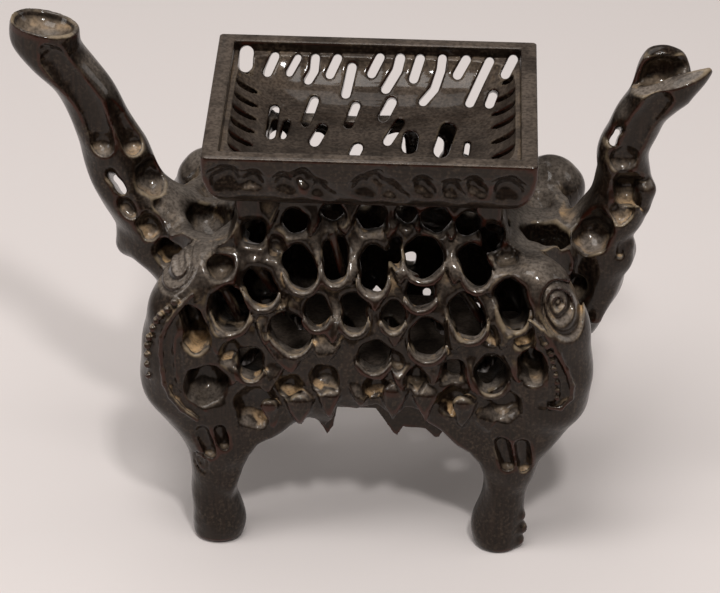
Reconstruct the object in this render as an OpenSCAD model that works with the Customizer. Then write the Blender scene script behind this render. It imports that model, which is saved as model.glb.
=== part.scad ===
// Carved hardwood incense burner: a pierced tray seated on an openwork body
// with four cabriole legs and two branch handles, doweled together.

/* [Tray] */
// Width of the tray across its rim
tray_w = 80; // [76:1:88]
// Depth of the tray across its rim
tray_d = 68; // [66:1:76]
// Height of the tray from its seat to its rim
tray_h = 15; // [12:0.5:20]
// Width of the flat bar of the rim
rim_w = 4; // [3:0.25:5]
// Depth of the upright lip inside the rim
lip_h = 3; // [2:0.25:4]
// Step from the lip in to the sloping wall
ledge_w = 1.2; // [0.6:0.2:2]
// Thickness of the tray floor
tray_floor = 3; // [2.8:0.1:4]
// How far the rim overhangs the foot of the tray
tray_flare = 8; // [6:0.5:9]
// How sharply the bowl's floor turns up into its walls
bowl_turn = 6; // [5:0.5:8]
// Width of the slots pierced in the tray
slot_w = 2.2; // [1.8:0.1:2.6]
// Rake of the slots through the far wall and the floor, in degrees from level
slot_rake = 30; // [26:1:34]
// Length of the slots in the two side walls
side_slot_len = 6; // [4:0.5:6.5]
// Lean of the slots in the two side walls, in degrees from upright
side_slot_lean = 31; // [20:1:35]

/* [Body] */
// Width of the body across its knees
body_w = 112; // [108:1:120]
// Depth of the body across its knees
body_d = 73; // [71:1:80]
// Height of the seat that carries the tray
seat_z = 95; // [93:0.5:100]
// Height of the tops of the knees
knee_z = 80; // [77:0.5:82]
// Height of the bottom edge of the front and rear panels
apron_z = 35; // [33:0.5:37]
// Thickness of the front and rear panels
panel_t = 7; // [6.5:0.25:8]
// How far the neck stands back from the tray's foot, front and rear
neck_setback = 2.5; // [1.5:0.5:3.5]
// Thickness of the neck at the two sides
neck_t = 6; // [5.5:0.25:7]
// Half width of the front and rear panels, where the legs begin
seam_x = 38; // [36:0.5:40]
// Half depth of the shoulders, where the legs begin
seam_y = 18; // [17:0.5:19]
// Distance from the middle to the flat cheek that carries a handle
cheek_x = 50; // [48.5:0.5:51]
// Thickness of the floor panel
floor_t = 5; // [4:0.5:6]
// Height of the top of the floor panel above the bottom edge of the panels
floor_rise = 6; // [5:0.5:7]
// How far the bottom edge of the panels arches up in the middle
hem_rise = 6; // [3:0.5:7]
// How far the drips hang below the floor panel
drip_h = 8; // [5:0.5:9]
// Length of one step of the grid that the pierced holes are laid out on
grid = 1; // [0.96:0.01:1.02]

/* [Legs] */
// Distance from the middle to a foot, across the width
foot_x = 35; // [33:0.5:37]
// Distance from the middle to a foot, across the depth
foot_y = 28; // [27:0.5:29]
// Half width of the rounded knee
knee_r = 12.5; // [11.5:0.5:13]
// Half depth of the rounded knee
knee_ry = 10.5; // [10:0.25:11]
// Half width of the shank at its thinnest
ankle_r = 5.8; // [5:0.2:6.6]
// Half width of the hoof foot
foot_r = 6.8; // [6:0.2:7.6]

/* [Handles] */
// Height of the cut end of the left handle
left_tip_z = 129; // [124:1:136]
// Reach of the left handle from the middle of the body
left_reach = 89; // [86:1:94]
// Height of the split end of the right handle
right_tip_z = 124; // [118:1:130]
// Reach of the right handle from the middle of the body
right_reach = 81; // [78:1:86]
// Half depth of the handles at their tips
tip_ry = 8; // [7:0.5:9]
// Half depth of the handle roots
root_ry = 11; // [10:0.5:12]
// Depth of the hollow in the cut end of the left handle
tip_hollow = 4; // [2:0.5:6]
// Slant of the cut end of the left handle, in degrees
tip_slant = 9; // [0:1:12]
// Width of the cleft that splits the right handle
cleft_w = 3; // [2:0.25:4]

/* [Dowels] */
// Radius of the dowels that hold the panels and shoulders to the legs
dowel_r = 2; // [1.5:0.25:2.25]
// Depth that a dowel reaches into each piece
dowel_in = 5; // [3.5:0.5:5.5]
// Radius of the dowels that hold the handles
handle_dowel_r = 2.5; // [2:0.25:3]
// Radius of the pins that hold the floor panel
pin_r = 1.5; // [1:0.25:1.75]
// Radius of the pegs under the tray
peg_r = 1.5; // [1:0.25:1.75]
// Length of a tray peg below the tray
peg_len = 5; // [4:0.5:7]

/* [Hidden] */
wood = "#2b2320";
light_wood = "#8a6a48";
fit = 0.02;         // glue fit around a dowel
peg_fit = 0.08;     // running fit around a tray peg
end_gap = 0.3;      // glue room past the end of a dowel
over = 1;           // how far a cut runs past the face it opens
far = 200;          // longer than anything here
loft_sides = 24;    // sides of a carved limb
loft_steps = 2;     // rings between two control rows

// Heights and half widths that several pieces share
rim_z = seat_z + tray_h;
foot_w = tray_w / 2 - tray_flare;      // half width of the tray's foot and of the neck
foot_d = tray_d / 2 - tray_flare;      // half depth of the tray's foot
knee_proud = 1.5;       // how far the knees stand proud of the belly
belly_y = body_d / 2 - knee_proud;
neck_y = foot_d - neck_setback;
neck_inset = belly_y - neck_y;         // how far the belly stands proud of the neck
chamber_x = foot_w - neck_t;
knee_x = body_w / 2 - knee_r;
knee_y = body_d / 2 - knee_ry;
floor_top = apron_z + floor_rise;
floor_z = floor_top - floor_t;
peg_x = foot_w - neck_t / 2;
peg_y = 8;
neck_dowel_in = 3.5;    // depth that a neck dowel reaches into each piece
neck_dowel_drop = 3.5;  // from the seat down to the neck dowels
panel_dowel_rise = 4;   // from the apron up to the panel dowels
side_dowel_rise = 12;   // from the apron up to the lower side dowel
side_dowel_pitch = 13;  // from the lower to the upper side dowel
handle_dowel_drop = 7;  // from the knee tops down to the upper handle dowel
handle_dowel_pitch = 10; // from the upper to the lower handle dowel
roof_drop = 9;          // from the knee tops down to the edge of the roof over the chamber
roof_z = knee_z - roof_drop;
collar_w = 2.5;         // step out from the neck to its collar
collar_h = 7;           // height of the collar above the knee tops
cheek_taper = 6;        // how far a cheek draws in towards the apron
cheek_pit_w = 8;        // width of the pits in the top of a cheek
cheek_pit_depth = 6;

// Height and fullness of the belly, as shares of the panel height and of the neck inset
BELLY = [[0, 0.72], [0.09, 0.9], [0.22, 1], [0.38, 0.96], [0.55, 0.74], [0.68, 0.46],
         [0.78, 0.2], [0.88, 0.02], [1, 0]];

// Pierced holes of the front panel, in steps of the grid: [x, height above the apron, width, length, lean]
HOLES = [
    [-16.5, 42, 7, 11, 26], [-8, 44, 5.5, 11, 4], [1.5, 42.5, 7, 13, 0], [13.5, 45, 9, 11, 0],
    [26.5, 44, 6, 9.5, 22], [-25.5, 38, 6.5, 9.5, 32], [-32.5, 31, 8, 11, 15], [-12, 32, 5.5, 8, 12],
    [-3.2, 31.3, 7, 10, 0], [6.5, 31.5, 5, 7, 0], [13, 35.6, 5.5, 5.6, 0], [24.5, 32, 9, 12, 20],
    [33, 35, 5.5, 11, 15], [-18.5, 26.5, 8, 11, 45], [15, 26, 9, 11, 0], [-28.2, 18, 7, 10, 10],
    [2, 21, 8, 9, 20], [-10, 14.5, 8, 9, 30], [30.8, 17, 7, 11, 0], [21.5, 17, 5.5, 7, 0],
    [-19.5, 12.5, 6, 7, -30], [12.5, 15.5, 5, 6, 0]
];
// Blind hollows below them, in steps of the grid: [x, height above the apron, width, length, lean]
PITS = [[-26.5, 7.5, 7, 9, 70], [22, 9.5, 4.5, 7, 90]];
pit_depth = 5;
// Openings of the neck above them, in steps of the grid: [x, width]
NECK_HOLES = [[-23, 5], [-15, 5], [-1.5, 6], [5.5, 5], [20, 5]];
neck_hole_h = 5.5;
neck_hole_drop = 2;
// Middles of the scallops along the arched bottom edge of a panel, in steps of the grid
SCALLOPS = [-20, -11, -2, 11, 20];
scallop_r = 5;
scallop_rise = 2.5;
hem_half_w = 25;
// Places of the drips along the floor panel's edge, in steps of the grid
DRIPS = [-16, -9, 6, 17];
// Slots through the tray, in steps of the grid on a plane square to the rake through the middle of
// its seat: [x of the top, its height, x of the bottom, its height, width as a share of slot_w]
SLOTS = [
    [-33, 25, -33, 21.5, 1.6], [-26, 24, -27.5, 20, 1], [-20, 24, -22, 20, 0.8], [-15.5, 24, -17, 18.5, 1],
    [-10, 24, -12, 20, 1], [-6.5, 22, -7.5, 15, 1], [0.5, 24.5, -1.5, 20.5, 1], [6, 24.5, 2.5, 16.5, 1.1],
    [11, 24.5, 9.5, 19.5, 1], [16.5, 25, 12, 13.5, 1], [22.5, 25, 20.5, 21, 1], [28.5, 24.5, 23.5, 13.5, 1],
    [34, 25, 32.5, 21, 1], [29.5, 16, 28.5, 13.5, 1], [-25, 10.5, -25, 3.5, 1], [-21.5, 6.5, -22, 3, 0.7],
    [-15.5, 13, -17, 7, 1], [-13, 5.5, -14.5, 2, 1.2], [-5, 12, -6.5, 7, 1], [-3.5, 0.5, -4.5, -1, 1.2],
    [4, 13.5, 2, 9, 1.1], [6.5, 7.5, 3.5, 2.5, 1], [9, 3.5, 9, 1.5, 1.7], [18.5, 6, 17, 0.5, 1.7],
    [23.5, 2.5, 23, 0, 0.6]
];
near_wall = 24;         // the raked slots stop this far in front of the middle
// Places of the slots in the side walls of the tray, in steps of the grid
SIDE_SLOTS = [-18.5, -11.5, -4.5, 2.5, 9.5, 16.5, 23.5];

// Smooth value between rows b and c of a list of equal rows
function spline(a, b, c, d, t) =
    0.5 * (2 * b + (c - a) * t + (2 * a - 5 * b + 4 * c - d) * t * t + (3 * b - a - 3 * c + d) * t * t * t);
function row(rows, i) = rows[max(0, min(len(rows) - 1, i))];
function smooth_rows(rows, steps) = [
    for (i = [0:len(rows) - 2])
        for (k = [0:steps - 1])
            spline(row(rows, i - 1), rows[i], rows[i + 1], row(rows, i + 2), k / steps),
    rows[len(rows) - 1]
];

// Points of the belly curve, y outward and z up, for a face that stands back by inset
function belly_curve(inset) = [
    for (b = smooth_rows(BELLY, 2))
        [neck_y + neck_inset * b[1] - inset, apron_z + (seat_z - apron_z) * b[0]]
];

// Carved limb through level rings: rows of [z, x, y, half width, half depth], top and bottom flat
function limb_rings(rows) = smooth_rows(rows, loft_steps);
function limb_points(rings) = [
    for (r = rings)
        for (k = [0:loft_sides - 1])
            let (angle = 360 * k / loft_sides)
                [r[1] + r[3] * cos(angle), r[2] + r[4] * sin(angle), r[0]]
];
function limb_reach(rows) = max([for (p = limb_points(limb_rings(rows))) p[0]]);

module limb(rows) {
    rings = limb_rings(rows);
    last = len(rings) - 1;
    faces = [
        [for (k = [0:loft_sides - 1]) k],
        [for (k = [0:loft_sides - 1]) last * loft_sides + loft_sides - 1 - k],
        for (i = [0:last - 1])
            for (k = [0:loft_sides - 1])
                let (
                    next = (k + 1) % loft_sides,
                    low = i * loft_sides,
                    high = low + loft_sides
                )
                    each [[low + k, high + k, high + next], [low + k, high + next, low + next]]
    ];
    polyhedron(limb_points(rings), faces);
}

// Extrusions along each axis, centred on the plane through the middle
module along_x(length) {
    rotate([90, 0, 90]) linear_extrude(length, center = true) children();
}
module along_y(length) {
    rotate([90, 0, 0]) linear_extrude(length, center = true) children();
}
module both_ends() {
    children();
    mirror([1, 0, 0]) children();
}
module four_corners() {
    both_ends() children();
    mirror([0, 1, 0]) both_ends() children();
}

// Slot with round ends in the plane, length measured end to end
module slot(width, length) {
    reach = max(length - width, 0.1) / 2;
    square([width, 2 * reach], center = true);
    translate([0, reach]) circle(d = width, $fn = 32);
    translate([0, -reach]) circle(d = width, $fn = 32);
}

// Half outline of a tray with an ovolo side: half width at the foot, at the top, and the heights
function ovolo(foot, top, low, high) = [
    for (t = [0:15:90])
        [foot + (top - foot) * sin(t), low + (high - low) * (1 - cos(t))]
];
module mirrored_outline(half) {
    polygon(concat(half, [for (i = [len(half) - 1:-1:0]) [-half[i][0], half[i][1]]]));
}
module tray_outer(half_foot, half_top) {
    mirrored_outline(concat(ovolo(half_foot, half_top, seat_z, rim_z - lip_h), [[half_top, rim_z]]));
}
module tray_inner(half_rim) {
    half_lip = half_rim - rim_w;
    half_bowl = half_lip - ledge_w;
    low = seat_z + tray_floor;
    mirrored_outline(concat(
        [for (r = [0.4, 0.5, 0.6, 0.7, 0.78, 0.85, 0.9, 0.94, 0.97, 1])
            [half_bowl * r, low + (rim_z - lip_h - low) * (r > 0.45 ? pow(r, bowl_turn) : 0)]],
        [[half_lip, rim_z - lip_h], [half_lip, rim_z + over]]
    ));
}
module bowl_cavity() {
    intersection() {
        along_y(far) tray_inner(tray_w / 2);
        along_x(far) tray_inner(tray_d / 2);
    }
}
// One slot sawn down and back through the far wall and the floor, which stops short of the near wall
module raked_slot(s) {
    reach = near_wall * cos(slot_rake);
    translate([0, 0, seat_z]) rotate([90 - slot_rake, 0, 0])
        translate([0, 0, reach - far / 2]) linear_extrude(far / 2) hull() {
            translate([s[0] * grid, s[1] * grid]) circle(d = slot_w * s[4], $fn = 16);
            translate([s[2] * grid, s[3] * grid]) circle(d = slot_w * s[4], $fn = 16);
        }
}
module tray_slots() {
    slot_z = seat_z + tray_floor + (tray_h - tray_floor - lip_h) * 0.5;
    for (s = SLOTS)
        raked_slot(s);
    for (y = SIDE_SLOTS)
        translate([0, y * grid, slot_z])
            along_x(far) rotate(side_slot_lean) slot(slot_w, side_slot_len);
}
module tray() {
    color(wood) difference() {
        intersection() {
            along_y(far) tray_outer(foot_w, tray_w / 2);
            along_x(far) tray_outer(foot_d, tray_d / 2);
        }
        bowl_cavity();
        tray_slots();
        four_corners() translate([peg_x, peg_y, seat_z - over])
            cylinder(r = peg_r + fit, h = over + peg_top(), $fn = 32);
    }
}
// Depth of the peg holes in the tray, which stop inside its floor
function peg_top() = tray_floor * 0.6;
module tray_pegs() {
    color(light_wood) four_corners() translate([peg_x, peg_y, seat_z - peg_len])
        cylinder(r = peg_r, h = peg_len + peg_top() - end_gap, $fn = 32);
}

// Height of the arch of the bottom edge at a distance from the middle
function hem_arch(x) = hem_rise * (1 - pow(x / hem_half_w, 2));

// Front view of a panel: belly between the seams, neck above, arched and scalloped below
module panel_outline() {
    difference() {
        union() {
            translate([-seam_x, apron_z]) square([2 * seam_x, knee_z - apron_z]);
            translate([-foot_w, knee_z - over]) square([2 * foot_w, seat_z - knee_z + over]);
        }
        polygon([
            [-hem_half_w, apron_z - over],
            for (t = [-1:0.125:1])
                [t * hem_half_w, apron_z + hem_arch(t * hem_half_w)],
            [hem_half_w, apron_z - over]
        ]);
        for (x = SCALLOPS)
            translate([x * grid, apron_z + hem_arch(x) - scallop_r + scallop_rise])
                circle(r = scallop_r, $fn = 48);
    }
}
module panel_piercing() {
    for (h = HOLES)
        translate([h[0] * grid, 0, apron_z + h[1] * grid])
            along_y(far) rotate(h[4]) slot(h[2] * grid, h[3] * grid);
    for (n = NECK_HOLES)
        translate([n[0] * grid, 0, seat_z - neck_hole_h / 2 - neck_hole_drop])
            along_y(far) slot(n[1] * grid, neck_hole_h);
    for (p = PITS)
        translate([p[0] * grid, -belly_y, apron_z + p[1] * grid])
            along_y(2 * pit_depth) rotate(p[4]) slot(p[2] * grid, p[3] * grid);
}
// Right front corner: one dowel from the belly into the leg
module panel_dowel_place(reach, r) {
    dowel_z = apron_z + panel_dowel_rise;
    translate([seam_x - reach, -panel_middle(dowel_z), dowel_z])
        rotate([0, 90, 0]) cylinder(r = r, h = 2 * reach, $fn = 32);
}
// Right front corner: one dowel from the neck into the shoulder
module neck_dowel_place(reach, r) {
    translate([peg_x, panel_t - neck_y + reach, seat_z - neck_dowel_drop])
        rotate([90, 0, 0]) cylinder(r = r, h = 2 * reach, $fn = 32);
}
// Middle of the panel's thickness at a height
function panel_middle(z) = lookup(z, [for (p = belly_curve(panel_t / 2)) [p[1], p[0]]]);
module front_panel() {
    color(wood) difference() {
        intersection() {
            along_x(2 * seam_x) polygon([
                for (p = belly_curve(0)) [-p[0], p[1]],
                for (i = [len(belly_curve(0)) - 1:-1:0]) [-belly_curve(panel_t)[i][0], belly_curve(0)[i][1]]
            ]);
            along_y(far) panel_outline();
        }
        panel_piercing();
        both_ends() panel_dowel_place(dowel_in + end_gap, dowel_r + fit);
        both_ends() neck_dowel_place(neck_dowel_in + end_gap, pin_r + fit);
    }
}
module rear_panel() {
    mirror([0, 1, 0]) front_panel();
}

// Right shoulder: cheek between the knees, roof over the chamber, and the side of the neck
module shoulder_outline() {
    polygon([
        [chamber_x, seat_z], [foot_w, seat_z], [foot_w, knee_z + collar_h],
        [foot_w + collar_w, knee_z + collar_h * 0.3], [foot_w + collar_h, knee_z], [cheek_x, knee_z],
        [cheek_x, floor_top + cheek_taper * 2], [cheek_x - cheek_taper / 3, floor_top + cheek_taper / 2],
        [cheek_x - cheek_taper, floor_top], [seam_x, floor_top], [seam_x, roof_z],
        [seam_x - roof_drop / 3, roof_z + roof_drop / 3],
        [chamber_x + roof_drop / 3, knee_z - roof_drop / 3], [chamber_x, knee_z + over]
    ]);
}
// Section of the chamber between the panels, from the edge of the roof up
module chamber_section() {
    intersection() {
        mirrored_outline(belly_curve(panel_t));
        translate([-far / 2, roof_z]) square(far);
    }
}
module side_dowel_places(reach, r) {
    for (z = [apron_z + side_dowel_rise, apron_z + side_dowel_rise + side_dowel_pitch])
        translate([(seam_x + cheek_x) / 2, seam_y + reach, z])
            rotate([90, 0, 0]) cylinder(r = r, h = 2 * reach, $fn = 32);
}
module handle_dowel_places(reach, r) {
    for (z = [knee_z - handle_dowel_drop - handle_dowel_pitch, knee_z - handle_dowel_drop])
        translate([cheek_x - reach, 0, z])
            rotate([0, 90, 0]) cylinder(r = r, h = 2 * reach, $fn = 32);
}
module floor_pin_places(depth, r) {
    translate([(seam_x + cheek_x - cheek_taper) / 2, seam_y / 2, floor_top - depth])
        cylinder(r = r, h = 2 * depth, $fn = 32);
}
module pierce_cheek(y, z, width, length, lean) {
    translate([cheek_x, y, z]) along_x(4 * panel_t) rotate(lean) slot(width, length);
}
module shoulder() {
    difference() {
        intersection() {
            along_y(far) shoulder_outline();
            union() {
                translate([chamber_x + (seam_x - chamber_x) / 2, 0, 0])
                    along_x(seam_x - chamber_x) chamber_section();
                translate([seam_x, -seam_y, floor_top]) cube([far, 2 * seam_y, seat_z - floor_top]);
            }
        }
        for (side = [-1, 1]) {
            pierce_cheek(side * 7.5 * grid, apron_z + 24 * grid, 6 * grid, 10 * grid, 10 * side);
            pierce_cheek(side * 5 * grid, apron_z + 13 * grid, 5 * grid, 6 * grid, 0);
            translate([seam_x + cheek_pit_w / 2 - over, side * seam_y * 2 / 3, knee_z - cheek_pit_depth])
                linear_extrude(far) slot(cheek_pit_w, cheek_pit_w + 2 * over);
            mirror([0, side > 0 ? 1 : 0, 0]) neck_dowel_place(neck_dowel_in + end_gap, pin_r + fit);
            mirror([0, side < 0 ? 1 : 0, 0]) side_dowel_places(dowel_in + end_gap, dowel_r + fit);
            mirror([0, side < 0 ? 1 : 0, 0]) floor_pin_places(floor_t * 0.8 + end_gap, pin_r + fit);
            translate([peg_x, side * peg_y, seat_z - peg_len - end_gap])
                cylinder(r = peg_r + peg_fit, h = peg_len + end_gap + over, $fn = 32);
        }
        handle_dowel_places(dowel_in + end_gap, handle_dowel_r + fit);
    }
}
module right_shoulder() {
    color(wood) shoulder();
}
module left_shoulder() {
    color(wood) mirror([1, 0, 0]) shoulder();
}

// Floor: a pierced board with wings under the shoulders and drips along its front and rear edges
floor_gap = 0.3;
floor_reach_y = lookup(floor_z, [for (p = belly_curve(panel_t)) [p[1], p[0]]]) - floor_gap;
module floor_panel() {
    color(wood) difference() {
        union() {
            translate([cheek_taper - cheek_x, -seam_y, floor_z])
                cube([2 * (cheek_x - cheek_taper), 2 * seam_y, floor_t]);
            translate([-chamber_x, -floor_reach_y, floor_z])
                cube([2 * chamber_x, 2 * floor_reach_y, floor_t]);
            for (x = DRIPS)
                for (side = [-1, 1])
                    translate([x * grid, side * (floor_reach_y - 2.5), floor_z - drip_h])
                        cylinder(r1 = 0.8, r2 = 2, h = drip_h + floor_t / 2, $fn = 24);
        }
        for (x = [-30, -18, -6, 6, 18, 30])
            for (side = [-1, 1])
                translate([x * grid, side * seam_y / 2, floor_z - over])
                    linear_extrude(floor_t + 2 * over) rotate(20 * side) slot(3 * grid, 9 * grid);
        four_corners() floor_pin_places(floor_t * 0.8 + end_gap, pin_r + fit);
    }
}

// Leg: round knee, cabriole shank and hoof foot, drawn for the front right corner
LEG = [
    [0, foot_x, foot_y, foot_r - 2, foot_r - 2.2],
    [2, foot_x, foot_y, foot_r - 0.4, foot_r - 1],
    [6, foot_x, foot_y, foot_r - 0.6, foot_r - 1],
    [10, foot_x + 0.5, foot_y, foot_r, foot_r - 0.6],
    [15, foot_x + 1.2, foot_y, foot_r - 0.2, foot_r - 0.4],
    [20, foot_x + 1.8, foot_y, ankle_r + 0.8, ankle_r + 0.6],
    [25, foot_x + 1.5, foot_y, ankle_r + 1.8, ankle_r + 1.4],
    [apron_z - 5, foot_x + 2, foot_y - 0.4, ankle_r + 4.4, ankle_r + 2.2],
    [apron_z, (foot_x + knee_x) / 2 - 0.5, knee_y, knee_r + 0.5, knee_ry - 1.2],
    [apron_z + 6, knee_x - 0.6, knee_y, knee_r - 0.2, knee_ry - 0.4],
    [apron_z + 14, knee_x, knee_y, knee_r, knee_ry],
    [apron_z + 24, knee_x - 1, knee_y, knee_r, knee_ry],
    [knee_z - 14, knee_x - 2.4, knee_y, knee_r, knee_ry - 0.6],
    [knee_z - 8, knee_x - 3, knee_y - 0.6, knee_r - 2, knee_ry - 1.8],
    [knee_z - 4, knee_x - 3.4, knee_y - 1.2, knee_r - 4, knee_ry - 3.2],
    [knee_z - 1, knee_x - 3.8, knee_y - 1.6, knee_r - 7.4, knee_ry - 5.4],
    [knee_z, knee_x - 4, knee_y - 1.8, knee_r - 10, knee_ry - 7.8]
];
module leg() {
    difference() {
        limb(LEG);
        translate([-over, -over, apron_z]) cube([seam_x + over, far, far]);
        translate([-over, -over, -over]) cube([chamber_x + over, far, far]);
        translate([-over, -over, floor_z - over]) cube([far, seam_y + over, far]);
        mirror([0, 1, 0]) panel_dowel_place(dowel_in + end_gap, dowel_r + fit);
        side_dowel_places(dowel_in + end_gap, dowel_r + fit);
    }
}
module leg_rear_right() {
    color(wood) leg();
}
module leg_rear_left() {
    color(wood) mirror([1, 0, 0]) leg();
}
module leg_front_right() {
    color(wood) mirror([0, 1, 0]) leg();
}
module leg_front_left() {
    color(wood) mirror([1, 0, 0]) mirror([0, 1, 0]) leg();
}

// Handles: carved branches drawn towards +X, cut flat where they meet the cheek. The upper part of
// the left one, from its neck to its tip, keeps its proportions when the tip is set higher or lower.
left_neck_z = knee_z + 16;
left_rise = left_tip_z - left_neck_z;
function left_z(part) = left_neck_z + left_rise * part / 33;
LEFT_BRANCH = [
    [knee_z - 30, cheek_x - 3, 0, 7, root_ry - 3],
    [knee_z - 22, cheek_x - 2, 0, 9.5, root_ry],
    [knee_z - 14, cheek_x + 1.5, 0, 10.5, root_ry],
    [knee_z - 6, cheek_x + 3, 0, 11, root_ry],
    [knee_z + 2, cheek_x + 7, 0, 11.5, root_ry - 1],
    [knee_z + 9, cheek_x + 11, 0, 10.5, root_ry - 2],
    [left_neck_z, cheek_x + 14.2, 0, 8.6, tip_ry - 0.5],
    [left_z(8), left_reach - 21.7, 0, 7.8, tip_ry - 0.8],
    [left_z(15), left_reach - 17.8, 0, 8.1, tip_ry - 0.5],
    [left_z(21.5), left_reach - 12.5, 0, 8.6, tip_ry],
    [left_z(27), left_reach - 9.2, 0, 8.9, tip_ry],
    [left_tip_z, left_reach - 8.8, 0, 8.8, tip_ry]
];
RIGHT_BRANCH = [
    [knee_z - 33, cheek_x + 2, 0, 6, root_ry - 4],
    [knee_z - 25, cheek_x + 3.5, 0, 7.8, root_ry - 1],
    [knee_z - 14, cheek_x + 6.5, 0, 8.8, root_ry],
    [knee_z - 6, cheek_x + 7, 0, 9.2, root_ry],
    [knee_z, cheek_x + 9, 0, 9, root_ry - 1],
    [knee_z + 7, cheek_x + 12, 0, 8, root_ry - 2],
    [knee_z + 12, cheek_x + 11.5, 0, 7.2, tip_ry],
    [knee_z + 18, cheek_x + 11.5, 0, 6.8, tip_ry - 0.5],
    [right_tip_z - 18, right_reach - 16.6, 0, 7, tip_ry - 0.8],
    [right_tip_z - 11, right_reach - 11.8, 0, 8.2, tip_ry - 0.3],
    [right_tip_z - 5, right_reach - 9, 0, 8.6, tip_ry],
    [right_tip_z, right_reach - 8, 0, 8, tip_ry - 0.5]
];
// Long gouged flutes, on the front and on the rear: points of [x, y, z, radius]
LEFT_FLUTES = [
    [[left_reach - 11.5, 9.3, left_z(26), 2.6], [left_reach - 16, 9, left_z(19), 4],
     [left_reach - 22.5, 8.8, left_z(3), 3]],
    [[left_reach - 24, 7.6, left_z(17), 1.9], [left_reach - 30.2, 7.2, left_z(2), 2.6]]
];
RIGHT_FLUTES = [
    [[right_reach - 12, 9.5, right_tip_z - 9, 3.4], [right_reach - 15.4, 9.2, right_tip_z - 15.5, 4],
     [right_reach - 19.4, 8.8, right_tip_z - 25, 3.6]]
];
// Round hollows in the front and the rear of the branches: [x, y, z, radius]
LEFT_HOLLOWS = [[cheek_x + 4, 9.5, knee_z + 10.5, 4.6]];
RIGHT_HOLLOWS = [[cheek_x + 12.8, 8.8, knee_z + 10.8, 3.6], [cheek_x + 5, 11.5, knee_z - 2, 4.4]];
module flute(points) {
    for (i = [0:len(points) - 2])
        hull()
            for (p = [points[i], points[i + 1]])
                translate([p[0], p[1], p[2]]) sphere(r = p[3], $fn = 14);
}
module handle(rows, flutes, hollows) {
    difference() {
        limb(rows);
        translate([cheek_x - far, -far / 2, 0]) cube([far, far, far]);
        handle_dowel_places(dowel_in + end_gap, handle_dowel_r + fit);
        for (side = [0, 1])
            mirror([0, side, 0]) {
                for (f = flutes)
                    flute(f);
                for (h = hollows)
                    translate([h[0], h[1], h[2]]) sphere(r = h[3], $fn = 16);
            }
    }
}
module handle_left() {
    hollow_r = 14;
    middle = left_reach - tip_ry - 0.8;
    cut_z = left_tip_z - (left_reach - middle) * tan(tip_slant);
    color(wood) mirror([1, 0, 0]) difference() {
        handle(LEFT_BRANCH, LEFT_FLUTES, LEFT_HOLLOWS);
        translate([left_reach, 0, left_tip_z]) rotate([0, -tip_slant, 0])
            translate([-far / 2, -far / 2, 0]) cube(far);
        intersection() {
            translate([middle, 0, cut_z + hollow_r - tip_hollow]) sphere(r = hollow_r, $fn = 48);
            translate([middle, 0, cut_z - tip_hollow]) cylinder(r = tip_ry - 1.5, h = far, $fn = 48);
        }
    }
}
// The split end: a long lip in front that ends in a beak, and a shorter lobe behind the cleft
module handle_right() {
    lip_x = right_reach - 17;
    lip_z = right_tip_z - 8;
    lip_slant = 20;
    lobe_x = right_reach - 4.5;
    cleft_slant = 8;
    cleft_z = lip_z - 2;
    beak_r = 1;
    beak_root_r = 3;
    color(wood) union() {
        difference() {
            handle(RIGHT_BRANCH, RIGHT_FLUTES, RIGHT_HOLLOWS);
            translate([lip_x, cleft_w / 2 - far, lip_z]) rotate([0, -lip_slant, 0])
                translate([-far / 2, 0, 0]) cube(far);
            translate([lobe_x, -cleft_w / 2, cleft_z]) rotate([0, -lip_slant, 0]) cube(far);
            translate([lip_x + 2, -cleft_w / 2, cleft_z]) rotate([0, -cleft_slant, 0])
                cube([far, cleft_w, far]);
        }
        hull() {
            translate([right_reach - 8, -cleft_w, lip_z]) sphere(r = beak_root_r, $fn = 20);
            translate([right_reach - beak_r, -cleft_w, right_tip_z - 2.5]) sphere(r = beak_r, $fn = 20);
        }
    }
}

// Dowels and pins: the hidden joinery
module panel_dowels() {
    color(light_wood) four_corners() {
        panel_dowel_place(dowel_in, dowel_r);
        neck_dowel_place(neck_dowel_in, pin_r);
    }
}
module side_dowels() {
    color(light_wood) four_corners() side_dowel_places(dowel_in, dowel_r);
}
module handle_dowels() {
    color(light_wood) both_ends() handle_dowel_places(dowel_in, handle_dowel_r);
}
module floor_pins() {
    color(light_wood) four_corners() floor_pin_places(floor_t * 0.8, pin_r);
}

// The origin is under the middle of the whole outline, so the two reaches set the shift
shift_x = (limb_reach(LEFT_BRANCH) - limb_reach(RIGHT_BRANCH)) / 2;
module placed() {
    translate([shift_x, 0, 0]) children();
}
placed() tray();
placed() tray_pegs();
placed() front_panel();
placed() rear_panel();
placed() left_shoulder();
placed() right_shoulder();
placed() floor_panel();
placed() leg_front_left();
placed() leg_front_right();
placed() leg_rear_left();
placed() leg_rear_right();
placed() handle_left();
placed() handle_right();
placed() panel_dowels();
placed() side_dowels();
placed() handle_dowels();
placed() floor_pins();
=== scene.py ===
"""Carved hardwood incense burner: a pierced tray on an openwork body with branch handles."""
import math

import bpy
import numpy as np
from mathutils import Matrix, Vector


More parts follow.
